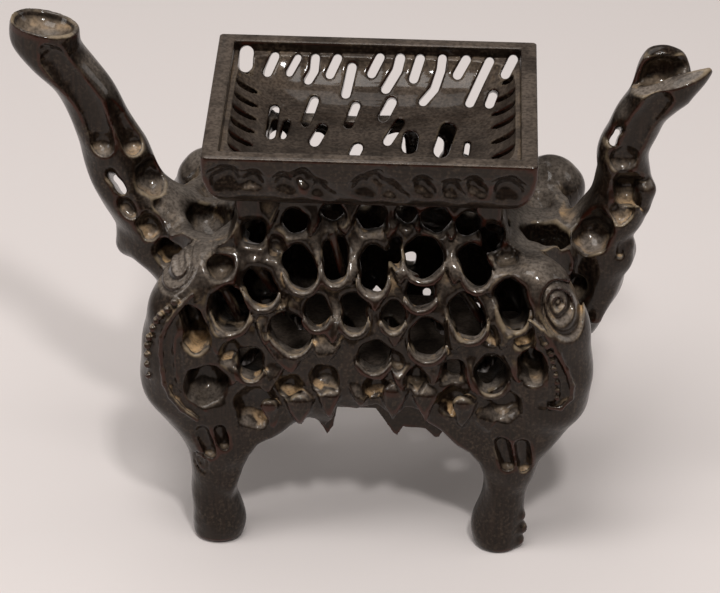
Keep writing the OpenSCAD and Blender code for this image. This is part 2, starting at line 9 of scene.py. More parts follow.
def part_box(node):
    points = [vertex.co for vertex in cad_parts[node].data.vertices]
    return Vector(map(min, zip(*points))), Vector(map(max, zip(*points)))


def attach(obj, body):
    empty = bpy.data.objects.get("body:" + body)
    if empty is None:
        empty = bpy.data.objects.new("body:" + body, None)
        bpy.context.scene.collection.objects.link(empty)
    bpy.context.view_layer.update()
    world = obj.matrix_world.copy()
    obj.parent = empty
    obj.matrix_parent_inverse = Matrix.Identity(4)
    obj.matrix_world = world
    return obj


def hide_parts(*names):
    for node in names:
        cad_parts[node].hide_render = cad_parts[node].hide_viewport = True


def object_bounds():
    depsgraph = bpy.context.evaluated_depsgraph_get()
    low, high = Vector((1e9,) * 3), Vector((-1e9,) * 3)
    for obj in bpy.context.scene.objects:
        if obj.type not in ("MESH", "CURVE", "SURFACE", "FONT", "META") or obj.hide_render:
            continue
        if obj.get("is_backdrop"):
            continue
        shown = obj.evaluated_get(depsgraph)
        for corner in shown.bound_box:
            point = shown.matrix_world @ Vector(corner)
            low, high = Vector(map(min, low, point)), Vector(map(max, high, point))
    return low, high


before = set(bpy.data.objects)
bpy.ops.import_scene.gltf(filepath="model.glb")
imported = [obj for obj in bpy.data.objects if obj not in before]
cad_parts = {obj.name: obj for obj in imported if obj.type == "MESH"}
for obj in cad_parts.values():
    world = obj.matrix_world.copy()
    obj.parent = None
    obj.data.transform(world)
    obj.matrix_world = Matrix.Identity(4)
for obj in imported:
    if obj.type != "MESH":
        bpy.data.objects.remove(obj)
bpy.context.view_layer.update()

MM = 0.001

# ---- stage
# A plain pale sheet under soft studio light, seen from a little above the front.
# All sizes below are in millimetres in the body's own frame, whose middle is the tray's.
tray_low, tray_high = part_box("tray")
scene = bpy.context.scene
body_middle = Vector(((tray_low.x + tray_high.x) / 2, 0.0, 0.0))


def linear(code):
    """Linear colour of an sRGB hex code."""
    values = [int(code[i:i + 2], 16) / 255 for i in (1, 3, 5)]
    return [v / 12.92 if v <= 0.04045 else ((v + 0.055) / 1.055) ** 2.4 for v in values] + [1.0]


def show(name, data):
    """An object of the scene made from its data."""
    made = bpy.data.objects.new(name, data)
    scene.collection.objects.link(made)
    return made


def place_camera():
    frame_px = 720
    focal_px = 3590
    sensor_mm = 36
    spot_mm = Vector((19.5, -784.4, 504.6))
    down = math.radians(29.87)
    turn = math.radians(-1.61)
    roll = math.radians(0.95)
    forward = Vector((math.sin(turn) * math.cos(down), math.cos(turn) * math.cos(down), -math.sin(down)))
    level = Vector((math.cos(turn), -math.sin(turn), 0))
    upright = level.cross(forward)
    right = level * math.cos(roll) + upright * math.sin(roll)
    up = upright * math.cos(roll) - level * math.sin(roll)
    data = bpy.data.cameras.new("camera")
    data.sensor_width = sensor_mm
    data.lens = focal_px / frame_px * sensor_mm
    data.clip_start, data.clip_end = 0.05, 30
    camera = show("camera", data)
    rotation = Matrix((right, up, -forward)).transposed().to_4x4()
    camera.matrix_world = Matrix.Translation(body_middle + spot_mm * MM) @ rotation
    scene.camera = camera


def add_node(tree, kind, settings=(), inputs=(), **links):
    """One shader node: attributes from settings, socket values from inputs, sockets joined from links."""
    made = tree.nodes.new(kind)
    for key, value in dict(settings).items():
        setattr(made, key, value)
    for key, value in dict(inputs).items():
        made.inputs[key].default_value = value
    for key, source in links.items():
        tree.links.new(source, made.inputs[int(key[1:]) if key[1:].isdigit() else key.replace("_", " ")])
    return made


def softbox(name, spot, size, power):
    """A square lamp turned to the middle of the object."""
    aim = Vector((0, 0, 0.06))
    data = bpy.data.lights.new(name, "AREA")
    data.shape = "SQUARE"
    data.size = size
    data.energy = power
    lamp = show(name, data)
    lamp.location = spot
    lamp.rotation_euler = (aim - Vector(spot)).to_track_quat("-Z", "Y").to_euler()


place_camera()
softbox("overhead", (-0.15, -0.3, 1.0), 0.45, 4.0)
softbox("rear_top", (-0.15, 0.35, 0.95), 0.5, 1.3)
softbox("front_key", (0.15, -0.65, 0.9), 0.09, 4.0)
softbox("left_window", (-0.95, -0.35, 0.6), 0.4, 2.4)
softbox("right_fill", (0.95, 0.1, 0.6), 0.4, 1.0)

# Seamless paper sheet, matt, pale pinkish grey
bpy.ops.mesh.primitive_plane_add(size=16)
paper_sheet = bpy.context.object
paper_sheet.name = "paper_sheet"
paper = bpy.data.materials.new("matt_paper")
paper.use_nodes = True
paper_shader = paper.node_tree.nodes["Principled BSDF"]
for key, value in (("Base Color", linear("#dbd2ce")), ("Roughness", 0.9), ("Specular IOR Level", 0.2)):
    paper_shader.inputs[key].default_value = value
paper_sheet.data.materials.append(paper)
paper_sheet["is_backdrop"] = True

world = bpy.data.worlds.new("studio")
world.use_nodes = True
world.node_tree.nodes["Background"].inputs["Color"].default_value = linear("#f4f1ee")
# The room is darker around the camera than overhead, so the polish mirrors less of it
room_light, kept_off_polish = 0.36, 0.26
mirrored = add_node(world.node_tree, "ShaderNodeLightPath").outputs["Is Glossy Ray"]
dimmed = add_node(world.node_tree, "ShaderNodeMath", {"operation": "MULTIPLY_ADD"},
                  {1: -kept_off_polish, 2: room_light}, _0=mirrored)
world.node_tree.links.new(dimmed.outputs[0], world.node_tree.nodes["Background"].inputs["Strength"])
scene.world = world
scene.view_settings.view_transform = "Standard"

# ---- the carved block
# The body is laid out as one block of solid timber, as a carver roughs it out, and the
# separate boards and limbs are then sawn from it. The block is a field of distances in mm,
# negative inside the wood, that each tool mark changes near itself.


class Block:
    """Distances from the wood's surface, on a lattice of points."""

    def __init__(self, low, high, step):
        open_air = 20.0
        self.step = step
        first = np.floor(np.array(low) / step).astype(int)
        count = np.ceil(np.array(high) / step).astype(int) - first + 1
        self.axes = [(first[i] + np.arange(count[i])).astype(np.float32) * step for i in range(3)]
        self.field = np.full(count, open_air, np.float32)

    def window(self, low, high):
        spans = [slice(*np.searchsorted(axis, (a, b))) for axis, a, b in zip(self.axes, low, high)]
        x, y, z = (axis[span] for axis, span in zip(self.axes, spans))
        return tuple(spans), x[:, None, None], y[None, :, None], z[None, None, :]

    def add(self, shape, low, high, blend, sign=1):
        spans, x, y, z = self.window(low, high)
        self.field[spans] = sign * blended(sign * self.field[spans], shape(x, y, z), blend)

    def cut(self, shape, low, high, blend):
        self.add(shape, low, high, blend, -1)

    def press(self, depth, low, high):
        """Moves the surface out by the given depth, or in where it is negative."""
        spans, x, y, z = self.window(low, high)
        self.field[spans] -= depth(x, y, z)


def blended(a, b, width):
    share = np.clip(0.5 + 0.5 * (b - a) / width, 0, 1)
    return b + (a - b) * share - width * share * (1 - share)


def rounded(a, b, radius):
    """Where two surfaces meet, measured from the centre of the rounding."""
    beyond = np.sqrt(np.maximum(a, 0) ** 2 + np.maximum(b, 0) ** 2)
    return beyond + np.minimum(np.maximum(a, b), 0) - radius


def meet(shape, *others):
    """What several shapes have in common."""
    for other in others:
        shape = np.maximum(shape, other)
    return shape


def smooth_step(low, high, value):
    t = np.clip((value - low) / (high - low), 0, 1)
    return t * t * (3 - 2 * t)


def peg(a, b, ra, rb):
    """A straight tapering limb between two points."""
    a, b = np.array(a, float), np.array(b, float)
    along = b - a
    length = max(float(along @ along), 1e-6)

    def shape(x, y, z):
        dx, dy, dz = x - a[0], y - a[1], z - a[2]
        t = np.clip((dx * along[0] + dy * along[1] + dz * along[2]) / length, 0, 1)
        gap = np.sqrt((dx - t * along[0]) ** 2 + (dy - t * along[1]) ** 2 + (dz - t * along[2]) ** 2)
        return gap - (ra + (rb - ra) * t)
    reach = max(ra, rb) + 2.5
    return shape, np.minimum(a, b) - reach, np.maximum(a, b) + reach


def oval(u, v, width, length, lean):
    """Distance from a slot with round ends, its length upright and then leant to the left."""
    c, s = math.cos(math.radians(lean)), math.sin(math.radians(lean))
    across, along = u * c + v * s, v * c - u * s
    over = np.maximum(abs(along) - max(length - width, 0) / 2, 0)
    return np.sqrt(across ** 2 + over ** 2) - width / 2


def smooth_rows(rows):
    """A smooth curve through rows of numbers, as a table."""
    per_row = 8
    rows = np.array(rows, float)
    padded = np.vstack([rows[:1], rows, rows[-1:]])
    t = np.linspace(0, 1, per_row, endpoint=False)[:, None]
    parts = []
    for a, b, c, d in zip(padded, padded[1:], padded[2:], padded[3:]):
        parts.append(0.5 * (2 * b + (c - a) * t + (2 * a - 5 * b + 4 * c - d) * t ** 2
                            + (3 * b - a - 3 * c + d) * t ** 3))
    return np.vstack(parts + [rows[-1:]])


def limb(rows):
    """A carved limb through level rings, from rows of (z, x, y, half width, half depth)."""
    table = smooth_rows(rows)
    foot, top = rows[0][0], rows[-1][0]

    def shape(x, y, z):
        xc, yc, rx, ry = (np.interp(z, table[:, 0], table[:, i]).astype(np.float32) for i in range(1, 5))
        dx, dy = (x - xc) / rx, (y - yc) / ry
        slope = np.sqrt((dx / rx) ** 2 + (dy / ry) ** 2) + 1e-3
        side = np.maximum((dx ** 2 + dy ** 2 - 1) / 2 / slope, -12)
        return meet(side, foot - z, z - top)
    low = (table[:, 1] - table[:, 3]).min(), (table[:, 2] - table[:, 4]).min(), foot
    high = (table[:, 1] + table[:, 3]).max(), (table[:, 2] + table[:, 4]).max(), top
    return shape, np.array(low) - 4, np.array(high) + 4


def polygon_side(u, v, points):
    """Distance from a closed outline, negative inside."""
    best, inside = None, False
    for (ax, ay), (bx, by) in zip(points, points[1:] + points[:1]):
        ex, ey = bx - ax, by - ay
        du, dv = u - ax, v - ay
        t = np.clip((du * ex + dv * ey) / (ex * ex + ey * ey), 0, 1)
        gap = (du - t * ex) ** 2 + (dv - t * ey) ** 2
        best = gap if best is None else np.minimum(best, gap)
        if ey != 0:
            inside = inside ^ (((ay > v) != (by > v)) & (u < ex * (v - ay) / ey + ax))
    return np.where(inside, -1, 1) * np.sqrt(best)


# Main sizes of the body
seat_z = 95.0
knee_z = 80.0
apron_z = 35.0
panel_t = 7.0
neck_half_w = 32.0
neck_half_d = 23.5
belly_half_d = 36.0
body_half_d = 36.5
seam_x = 38.0
seam_y = 18.0
cheek_x = 50.0
chamber_half_w = 26.0

# How far the belly swells out of the neck, by height
belly = smooth_rows([(0, 0.72), (0.09, 0.9), (0.22, 1), (0.38, 0.96), (0.55, 0.74), (0.68, 0.46),
                     (0.78, 0.2), (0.88, 0.02), (1, 0)])


def face_depth(z, half_d=belly_half_d):
    """Distance of the front or rear face from the middle plane, by height."""
    share = np.interp((z - apron_z) / (seat_z - apron_z), belly[:, 0], belly[:, 1])
    return (neck_half_d + (half_d - neck_half_d) * share).astype(np.float32)


def inner_depth(z):
    """Distance of a board's inner face from the middle plane."""
    return face_depth(z, belly_half_d - 1) - panel_t


# Ragged bottom edges of the front and rear boards, the front one arched in the middle
HEM = [
    (-38, 31), (-30, 31), (-26, 31.5), (-22.5, 31.5), (-18.5, 35), (-14.5, 37), (-12, 35.5), (-10, 33),
    (-8, 36), (-7, 41), (-2, 39.5), (3, 42), (7, 38), (10, 41.5), (19, 40), (23.5, 37), (28, 39), (33, 36),
    (38, 34),
]
REAR_HEM = [
    (-38, 34), (-24, 36.5), (-18, 37.5), (-14, 40.5), (-9, 37.5), (-2, 38), (1, 41.5), (4, 38), (12, 37.5),
    (15.5, 39), (20, 36.5), (38, 34),
]

# Tongues of wood between the holes, like scales proud at their lower points: (x, z of the
# point, half width, length, lean of the top)
TONGUES = [
    (-24.5, 59, 5, 12, 1), (-35.7, 56, 5, 11, 1), (-18, 52, 6.5, 11, -3), (-4, 73.5, 4, 10, -1),
    (8, 74, 4, 10, 0), (21, 74.5, 4.5, 10, 1), (2, 68, 4, 8, 0), (14, 68, 4, 7, 0), (7, 59.3, 4.5, 12, 0),
    (21.5, 58.8, 4.5, 11, 1.5), (33, 60, 6.5, 12, -1), (37.5, 51.3, 5, 10, 0), (16.5, 49.4, 5, 9, -1),
    (-25, 84, 4, 9, 0), (-6, 84, 4, 9, 0), (-12.5, 73, 4, 8, 0), (-28, 64, 4, 8, 0), (-8, 60, 4.5, 10, -1),
    (26.5, 48, 4.5, 9, 1), (-10, 54, 5, 8, 0), (20, 84, 4, 9, 0), (5, 83.5, 4, 9, 0), (-33, 47, 5, 9, -1),
    (-14, 84, 3.5, 8, 0), (12, 85, 3, 8, 0), (30, 72, 4, 10, 2), (-33, 72, 4, 9, -2), (3, 49, 4, 8, 0),
    (-24, 46, 5, 9, 0), (31, 44, 5, 8, 0), (9, 48, 3.5, 7, 0), (-16, 36.5, 4.5, 9, 0), (7, 40, 4.5, 9, 0),
    (24, 37.5, 4.5, 9, 0), (-9, 39.5, 3.5, 8, 0), (-1, 42.5, 3.5, 7, 0), (14.5, 40.5, 3.5, 7, 0),
    (-22.5, 35, 4, 8, -1), (29.5, 35, 4, 8, 1),
]
relief = 2.2
scale_rise = 2.1


def scales(x, z):
    """Share of the relief that the tongues fill, over the front or rear face."""
    proud = np.float32(0) * x * z
    for x0, z0, half, length, lean in TONGUES:
        share = np.clip((z - z0) / length, 0, 1)
        side = half * share ** 0.65 - abs(x - x0 - lean * share)
        point = smooth_step(-0.5, 0.5, side) * (z > z0 - 0.3) * smooth_step(1.0, 0.3, share)
        proud = np.maximum(proud, point)
    return proud


def panel_slab(x, y, z):
    depth = face_depth(z) - relief + scale_rise * scales(x, z)
    lean_of_face = 0.85
    wall = meet(abs(y) - depth, inner_depth(z) - abs(y)) * lean_of_face
    width = np.where(z > knee_z, neck_half_w, seam_x + 2)
    hem = np.where(y < 0, np.interp(x, *zip(*HEM)), np.interp(x, *zip(*REAR_HEM)))
    return meet(wall, abs(x) - width, hem - z, z - seat_z)


SHOULDER = [
    (chamber_half_w, seat_z), (neck_half_w, seat_z), (neck_half_w, 87), (34.5, 82), (39, knee_z - 1),
    (46, knee_z - 1), (49, knee_z - 3), (cheek_x, knee_z - 7), (cheek_x, 53), (48, 43), (44, apron_z),
    (seam_x, apron_z), (seam_x, 71), (35, 74), (29, 77), (chamber_half_w, 81),
]


def shoulder_block(x, y, z):
    outline = polygon_side(abs(x), z, SHOULDER)
    half_d = np.where(abs(x) > seam_x, seam_y + 1 - 6 * smooth_step(40, cheek_x, abs(x)), 24)
    return meet(outline, abs(y) - half_d)


# Brackets that carry the lower edge down into the legs in an arch: outline as (x, z)
BRACKET = [
    (14, 41), (15, 37), (18.5, 34.5), (22.5, 30.5), (26, 28.5), (28.5, 25.5), (30, 20), (33, 14), (38, 20),
    (38, 41),
]


def bracket(x, y, z):
    return rounded(polygon_side(abs(x), z, BRACKET) + 2, abs(abs(y) - 28) - 3.2, 2)


# Corner leg: round knee, cabriole shank and hoof foot, (z, x, y, half width, half depth)
LEG = [
    (0, 35, 28, 5.4, 5.2), (1, 35, 28, 6.4, 6), (5, 35, 28, 6.9, 6.3), (10, 35.3, 28, 6.4, 6),
    (15, 36.2, 28, 5.9, 5.8), (20, 36.8, 28, 6.0, 6.0), (25, 36.6, 28, 7.4, 7), (30, 37.5, 27.6, 9.6, 7.8),
    (35, 39.5, 26, 12, 9.3), (41, 42.9, 26, 12.3, 10.1), (49, 43.5, 26, 12.6, 10.5),
    (59, 42.7, 26, 12.5, 10.5), (66, 41.4, 26, 12.5, 9.9), (72, 40.5, 25.4, 10.8, 9.1),
    (76, 40.1, 24.8, 8.9, 7.7), (79, 39.7, 24.4, 5.6, 5.6), (80.5, 39.5, 24.2, 2.5, 2.7),
]


def four_corners(shape, low, high):
    """The same limb at all four corners, the left feet set a little out and the right a little in."""
    def corner(x, y, z):
        sway = -1.4 * smooth_step(28, 12, z)
        return shape(abs(x - sway), abs(y), z)
    return corner, (-high[0] - 2, -high[1], low[2]), (high[0] + 2, high[1], high[2])


# The two branches, which grow out of the cheeks, in the same kind of rows
LEFT_BRANCH = [
    (50, -47, 0, 5, 8), (58, -47, 0, 7, 10), (63, -49, 0, 8.4, 10.8), (68, -51.5, 0, 10.8, 11),
    (74, -53, 0, 10.8, 11), (80, -56.5, 0, 11.2, 10.4), (85, -60, 0, 10, 9.4), (91, -62.5, 0, 9, 8.2),
    (97, -64.5, 0, 8.5, 7.4), (104, -67.3, 0, 7.8, 7.2), (111, -71.2, 0, 8, 7.5), (117, -76, 0, 8.5, 8),
    (122, -79.4, 0, 8.9, 8), (126, -80.2, 0, 8.9, 7.9), (131, -80.2, 0, 8.6, 7.6),
]
RIGHT_BRANCH = [
    (47, 52, 0, 5.5, 6), (55, 53.5, 0, 7.4, 9), (61, 55.5, 0, 8.2, 10), (66, 56.5, 0, 8.2, 10.5),
    (70, 57.3, 0, 9.2, 10.5), (75, 57, 0, 8.6, 10.5), (80, 59, 0, 9, 10), (87, 62, 0, 8.2, 9),
    (92, 61.6, 0, 7, 8), (98, 61.5, 0, 6.8, 7.5), (106, 64.4, 0, 7, 7.2), (113, 69, 0, 8, 7.7),
    (118, 71.8, 0, 8.8, 7.8), (122, 73, 0, 8.6, 7.6), (126, 72.5, 0, 7, 6.4),
]


def rough_out(timber, low, high, *branches):
    """Shoulders and legs, the rear knees swollen further and higher, and branches."""
    branch_blend = 6
    timber.add(shoulder_block, low, high, 3)
    timber.add(*four_corners(*limb(LEG)), 3.5)
    timber.add(*peg((46, 23, 74), (45, 23, 75.2), 8, 8), 3)
    timber.add(*peg((-43.4, 23, 74), (-42.4, 23, 75.4), 7.2, 7.2), 3)
    for rows in branches:
        timber.add(*limb(rows), branch_blend)


def undulation(x, y, z):
    """Slow swells left by the gouge, nowhere outward of the stock."""
    return 0.35 * np.sin(0.31 * x + 0.2 * z) * np.sin(0.27 * y - 0.33 * z + 1) - 0.35


lattice = 0.45
fine_lattice = 0.42
whole = (-60, -39, -2), (60, 39, 98)
block = Block(*whole, lattice)
block.add(panel_slab, *whole, 0.5)
rough_out(block, *whole, LEFT_BRANCH, RIGHT_BRANCH)
block.add(bracket, (-40, -36, 10), (40, 36, 44), 3)
block.press(undulation, *whole)


def bore(spot, toward, width, length, lean, deep, flare=0.5, soft=None):
    """A round-ended hole from a spot on the surface, leant and splayed at the mouth."""
    ahead = np.array(toward, float) / np.linalg.norm(toward)
    side = np.cross(ahead, (0, 0, 1) if abs(ahead[2]) < 0.9 else (0, 1, 0))
    side /= np.linalg.norm(side)
    up = np.cross(side, ahead)
    soft = soft or min(width * 0.46, deep * 0.9)

    def shape(x, y, z):
        dx, dy, dz = x - spot[0], y - spot[1], z - spot[2]
        u, v, w = (dx * axis[0] + dy * axis[1] + dz * axis[2] for axis in (side, up, ahead))
        wobble = 0.3 * np.sin(1.1 * u + 0.4 * spot[2]) * np.cos(0.9 * v + spot[0])
        outline = oval(u, v, width, length, lean) + wobble - flare * np.exp(-np.maximum(w, -1) / 1.6)
        return rounded(outline + soft, w - deep + soft, soft)
    reach = max(length / 2 + flare + 3, deep + 3)
    return shape, np.array(spot) - reach, np.array(spot) + reach


def on_face(x, z, side=-1):
    """Spot on the front or rear face, and the direction square into the wood there."""
    depth, lower, upper = (float(face_depth(h)) for h in (z, z - 1, z + 1))
    return (x, side * (depth - relief), z), (0, -side, (upper - lower) / 2)


def knee_face(x0, z0):
    """Depth of a front knee's surface at a spot of its front view."""
    xc, rx, ry = (np.interp(z0, [row[0] for row in LEG], [row[i] for row in LEG]) for i in (1, 3, 4))
    return -26 - ry * math.sqrt(max(1 - ((abs(x0) - xc) / rx) ** 2, 0.03))


# Holes pierced through the front: (x, z, width, length, lean)
FRONT_HOLES = [
    (-16.5, 77, 7, 10.5, 26), (-8, 79, 5.5, 10.5, 4), (1.5, 77, 6.2, 11, 0), (13.5, 80, 9, 9.5, 0),
    (26, 78.5, 6.2, 10, 22), (-26, 72.5, 6.8, 9.5, 32), (-33.3, 67, 8, 10.5, 15), (-12, 67, 5.2, 7.2, 12),
    (-3, 67, 5.6, 9.2, 3), (6.5, 66.5, 4.8, 6.4, 0), (13, 72, 6.6, 5.2, 0), (24.5, 67, 7.6, 11.2, 20),
    (35.3, 70, 6.4, 11.8, 15), (-18.5, 61.5, 7.6, 10.5, 45), (15, 61, 8, 9.8, 0), (-28.2, 53, 5.6, 8, 8),
    (30.8, 52, 7, 9.5, 5), (2, 56, 7.2, 6.6, 50),
]
# Blind hollows, and how deep they go
FRONT_PITS = [
    (-42, 64.5, 3.4, 6.5, 25, 6), (-41, 60, 4.4, 4.4, 0, 7), (-38.6, 47.5, 9.5, 10, 12, 6),
    (-26.5, 41, 10, 8, -20, 3), (-10, 49.5, 6.5, 6, 0, 4.5), (12.5, 50.5, 4, 5, 0, 4),
    (21.5, 52, 5.5, 7, 0, 4.5), (40.6, 55.5, 5, 7.5, 8, 8), (22, 44, 7, 4.5, 0, 3.5),
    (2.5, 47.5, 5, 4, 0, 3.5), (-35.5, 76.5, 4.5, 4, 40, 2.5), (33.5, 80.5, 5, 4.5, 0, 3.5),
    (-18.5, 46.5, 5.5, 5, 0, 4), (34, 44.5, 7, 4.5, 0, 2.5), (6.5, 81, 2.4, 6, 0, 3.5),
    (-22.5, 81, 3.4, 5, 20, 3), (7.5, 55, 2.6, 3.6, 0, 2.5), (-20.8, 69, 2.6, 3.6, 0, 2),
    (30, 62.5, 2.5, 3.5, 0, 2), (38.5, 63, 3, 5, 15, 2.5), (-33, 56.5, 3, 4, 0, 2.5),
]
NECK_HOLES = [
    (-28, 84, 6, 5.5), (-18, 86.5, 6, 6), (-9, 89, 5, 4.5), (0.5, 88, 7, 6.5), (9, 89, 4.5, 5),
    (16, 88, 7, 5), (24, 87, 6, 6), (30, 84, 5, 7),
]

through = 15
through_neck = 12
hole_edge = 1.6
for x0, z0, *sizes in FRONT_HOLES:
    block.cut(*bore(*on_face(x0, z0), *sizes, through), hole_edge)
for x0, z0, *sizes in FRONT_PITS:
    block.cut(*bore(*on_face(x0, z0), *sizes), hole_edge)
for x0, z0, *sizes in NECK_HOLES:
    block.cut(*bore(*on_face(x0, z0), *sizes, 0, through_neck), 1.4)


def lower_lip(x0, z0, width, length, lean):
    """A thin raised edge around the lower half of a hole."""
    def shape(x, y, z):
        outline = oval(x - x0, z - z0, width + 1.2, length + 1.2, lean)
        thick = 0.8 * smooth_step(z0 + length * 0.1, z0 - length * 0.35, z)
        return np.sqrt(outline ** 2 + (-y - face_depth(z) + 1.2) ** 2) - thick
    reach = max(width, length) / 2 + 4
    return shape, (x0 - reach, -38, z0 - reach), (x0 + reach, -20, z0 + reach)


for hole in FRONT_HOLES:
    block.add(*lower_lip(*hole), 0.9)


def fang(x0, tip_z, length, half, lean):
    """A thorn that hangs from a web, broad above and sharp at its tip."""
    top_z = tip_z + length
    top = np.array((x0 + lean, 1.8 - float(face_depth(top_z)), top_z))
    tip = np.array((x0, 0.2 - float(face_depth(tip_z)), tip_z))
    squash = np.array((1, 1.5, 1))
    along = (tip - top) * squash

    def shape(x, y, z):
        dx, dy, dz = x - top[0], (y - top[1]) * squash[1], z - top[2]
        t = np.clip((dx * along[0] + dy * along[1] + dz * along[2]) / (along @ along), 0, 1)
        gap = np.sqrt((dx - t * along[0]) ** 2 + (dy - t * along[1]) ** 2 + (dz - t * along[2]) ** 2)
        return (gap - half + (half - 0.5) * t) / 1.2
    return shape, np.minimum(top, tip) - half - 2, np.maximum(top, tip) + half + 2


# Thorns that hang from the hem: (x, z of the tip, length, half width at the top, lean of the top)
HEM_FANGS = [
    (-16, 36.5, 6, 2.6, 0), (7, 39.5, 7, 2.8, 0), (24, 37.5, 6, 2.6, 0), (-8.5, 39.5, 5, 1.8, 0),
    (-22.5, 35, 6, 2.2, -1), (15, 39.5, 6, 2, 0.5),
]
for thorn in HEM_FANGS:
    block.add(*fang(*thorn), 1.6)

# The rear board is pierced to the same pattern, but low down hardly anywhere right through. The
# row above the middle is set higher there and cut shorter.
REAR_HOLES = []
for x0, z0, width, length, lean in FRONT_HOLES:
    raised = 64 < z0 < 68
    deep = through if z0 > 64 else 3.5
    REAR_HOLES.append((x0, z0 + 2 * raised, width, length - 3 * raised, lean, deep))
REAR_HOLES += [(*pit[:5], min(pit[5], 3)) for pit in FRONT_PITS] + [(9.5, 48.5, 3, 4, 0, through)]
REAR_NECK = [
    (-25, 87, 6, 8), (-14.5, 87, 5.5, 8), (-4.5, 87, 5.5, 9), (5, 87, 5.5, 9), (14.5, 87, 5.5, 8),
    (25, 87, 6, 8),
]
for x0, z0, *sizes in REAR_HOLES:
    block.cut(*bore(*on_face(x0, z0, side=1), *sizes), hole_edge)
for x0, z0, *sizes in REAR_NECK:
    block.cut(*bore((x0, neck_half_d, z0), (0, -1, 0), *sizes, 0, through_neck, flare=0.4), 1.2)

# Toes at the outer side of the front feet
for x0, z0, size in ((-40, 5.5, 2), (-39.4, 2.6, 1.6), (39.3, 9.5, 1.4), (39.6, 5.8, 1.7), (39, 2.2, 1.6)):
    block.add(*peg((x0, -30, z0), (x0 * 0.95, -29, z0), size, size), 1.2)

# Two small holes low in the rear let a point of light through
for x0, y0, z0 in ((14.1, 22, 43.2), (27, 18, 41.7)):
    block.cut(*peg((x0, y0, z0), (x0, y0 + 20, z0 - 11.5), 1.1, 1.1), 0.5)

# Inner struts left between the boards' webs, seen through the front holes
STRUTS = [
    ((-28, -25, 77), (-23, -22, 68), 1.2), ((-22, -24, 65), (-14, -23, 57), 1.3),
    ((22, -24, 72), (28, -23, 62), 1.2), ((-9, -22, 84), (-6, -22, 72), 1.0),
    ((-36, -26, 72), (-31, -25, 61), 1.3), ((12, -23, 66), (18, -24, 56), 1.2),
]
for start, end, thick in STRUTS:
    block.add(*peg(start, end, thick, thick), 1.5)

# Pits in the tops of the cheeks and the knees, from above: (x, y, z, width, length, lean, depth)
TOP_PITS = [
    (-40.3, -6, 79, 8.5, 13, 25, 6), (-31.2, -8, 77, 4.5, 5, 0, 3), (43.5, -8, 77, 8, 11, 60, 9),
    (31, -9, 77, 4, 5, 0, 3), (-40, 9, 80, 7, 8, 10, 4), (42, 9, 80, 7, 8, 0, 4),
]
for *spot, width, length, lean, deep in TOP_PITS:
    block.cut(*bore(spot, (0, 0.25, -1), width, length, lean, deep), 1.4)

# Hollows where the branches grow out of the cheeks, cut across the joint: (spot, toward, sizes)
gouge_rake = (0, 0.866, -0.5)
ROOT_HOLLOWS = [
    ((-53.6, -5, 89), (-0.3, 0.8, -0.5), 8.5, 9, 30, 6.5),
    ((-49.4, -7.5, 83.5), (-0.1, 0.8, -0.6), 7, 6, 50, 2.2),
    ((-54.5, -9.5, 77), gouge_rake, 4, 5.5, 30, 2.2), ((-49.6, -10.5, 71), (0.1, 0.9, -0.2), 6, 5, 0, 7),
    ((54.6, -8, 78.5), (0.1, 0.7, -0.7), 8.5, 9, -15, 6),
    ((51.2, -10.5, 63.5), (0, 0.9, -0.2), 5.5, 6.5, -10, 7),
]
for hollow in ROOT_HOLLOWS:
    block.cut(*bore(*hollow), 1.2)

# Hollows where the knees meet the cheeks, from the sides
SIDE_PITS = [
    ((-52, -14, 71), (1, 0.4, -0.2), 6, 5.5, 0, 8), ((51, -15, 66), (-1, 0.4, -0.2), 4.5, 7, 0, 8),
    ((-50, 13, 66), (1, -0.3, 0), 6, 9, 10, 7), ((50, 13, 66), (-1, -0.3, 0), 6, 9, 10, 7),
    ((-50, -6, 45), (1, 0, 0), 6, 7, 0, 9), ((50, 6, 45), (-1, 0, 0), 6, 7, 0, 9),
]
for hollow in SIDE_PITS:
    block.cut(*bore(*hollow), 1.4)

# Long gouges at the tops of the front legs: (x, z of the top, x, z of the foot, radius)
LEG_GOUGES = [
    (-40, 33.5, -38.2, 28, 2.2), (-35.6, 34, -34.6, 30, 1.7), (34, 32.5, 35.6, 27, 2.2),
    (39, 32.5, 40, 26, 2.2),
]
for x0, z0, x1, z1, radius in LEG_GOUGES:
    top, foot = ((x, knee_face(x, z) - radius + 1.5, z) for x, z in ((x0, z0), (x1, z1)))
    block.cut(*peg(top, foot, radius, radius * 0.8), 0.8)


def stroke(tool, points, blend):
    """A line cut or raised by a block's tool, through points given as (x, y, z, radius)."""
    for start, end in zip(points, points[1:]):
        tool(*peg(start[:3], end[:3], start[3], end[3]), blend)


# The band around each front knee: a deep gouged line with a fine ridge beside it
LEFT_BAND = [
    (-42, 73), (-45, 69.5), (-48, 65), (-49.8, 60.5), (-50, 56), (-49.5, 51.5), (-49, 48), (-47.5, 44.5),
    (-44.8, 41), (-41, 38),
]
RIGHT_BAND = [
    (39.5, 69), (42.5, 66.5), (44.3, 64.5), (46.8, 60), (49, 55.5), (50.6, 50.5), (50.4, 47), (48, 44.6),
    (45, 45),
]


def knee_line(tool, points, inward, up, proud, radius, blend=0.8):
    spots = [(x0 + inward, z0 + up) for x0, z0 in points]
    stroke(tool, [(x0, knee_face(x0, z0) - proud, z0, radius) for x0, z0 in spots], blend)


# A second, lighter line runs inside each band
for points, inner, side, further in ((LEFT_BAND, LEFT_BAND[1:-1], 1, 4.6),
                                     (RIGHT_BAND, RIGHT_BAND[1:-2], -1, -4.4)):
    knee_line(block.cut, points, 1.9 * side, 0.4, 0.3, 1.15)
    knee_line(block.add, points, 0, 0, 0.1, 0.55, 0.7)
    knee_line(block.cut, inner, further, 0, 0.2, 0.8)

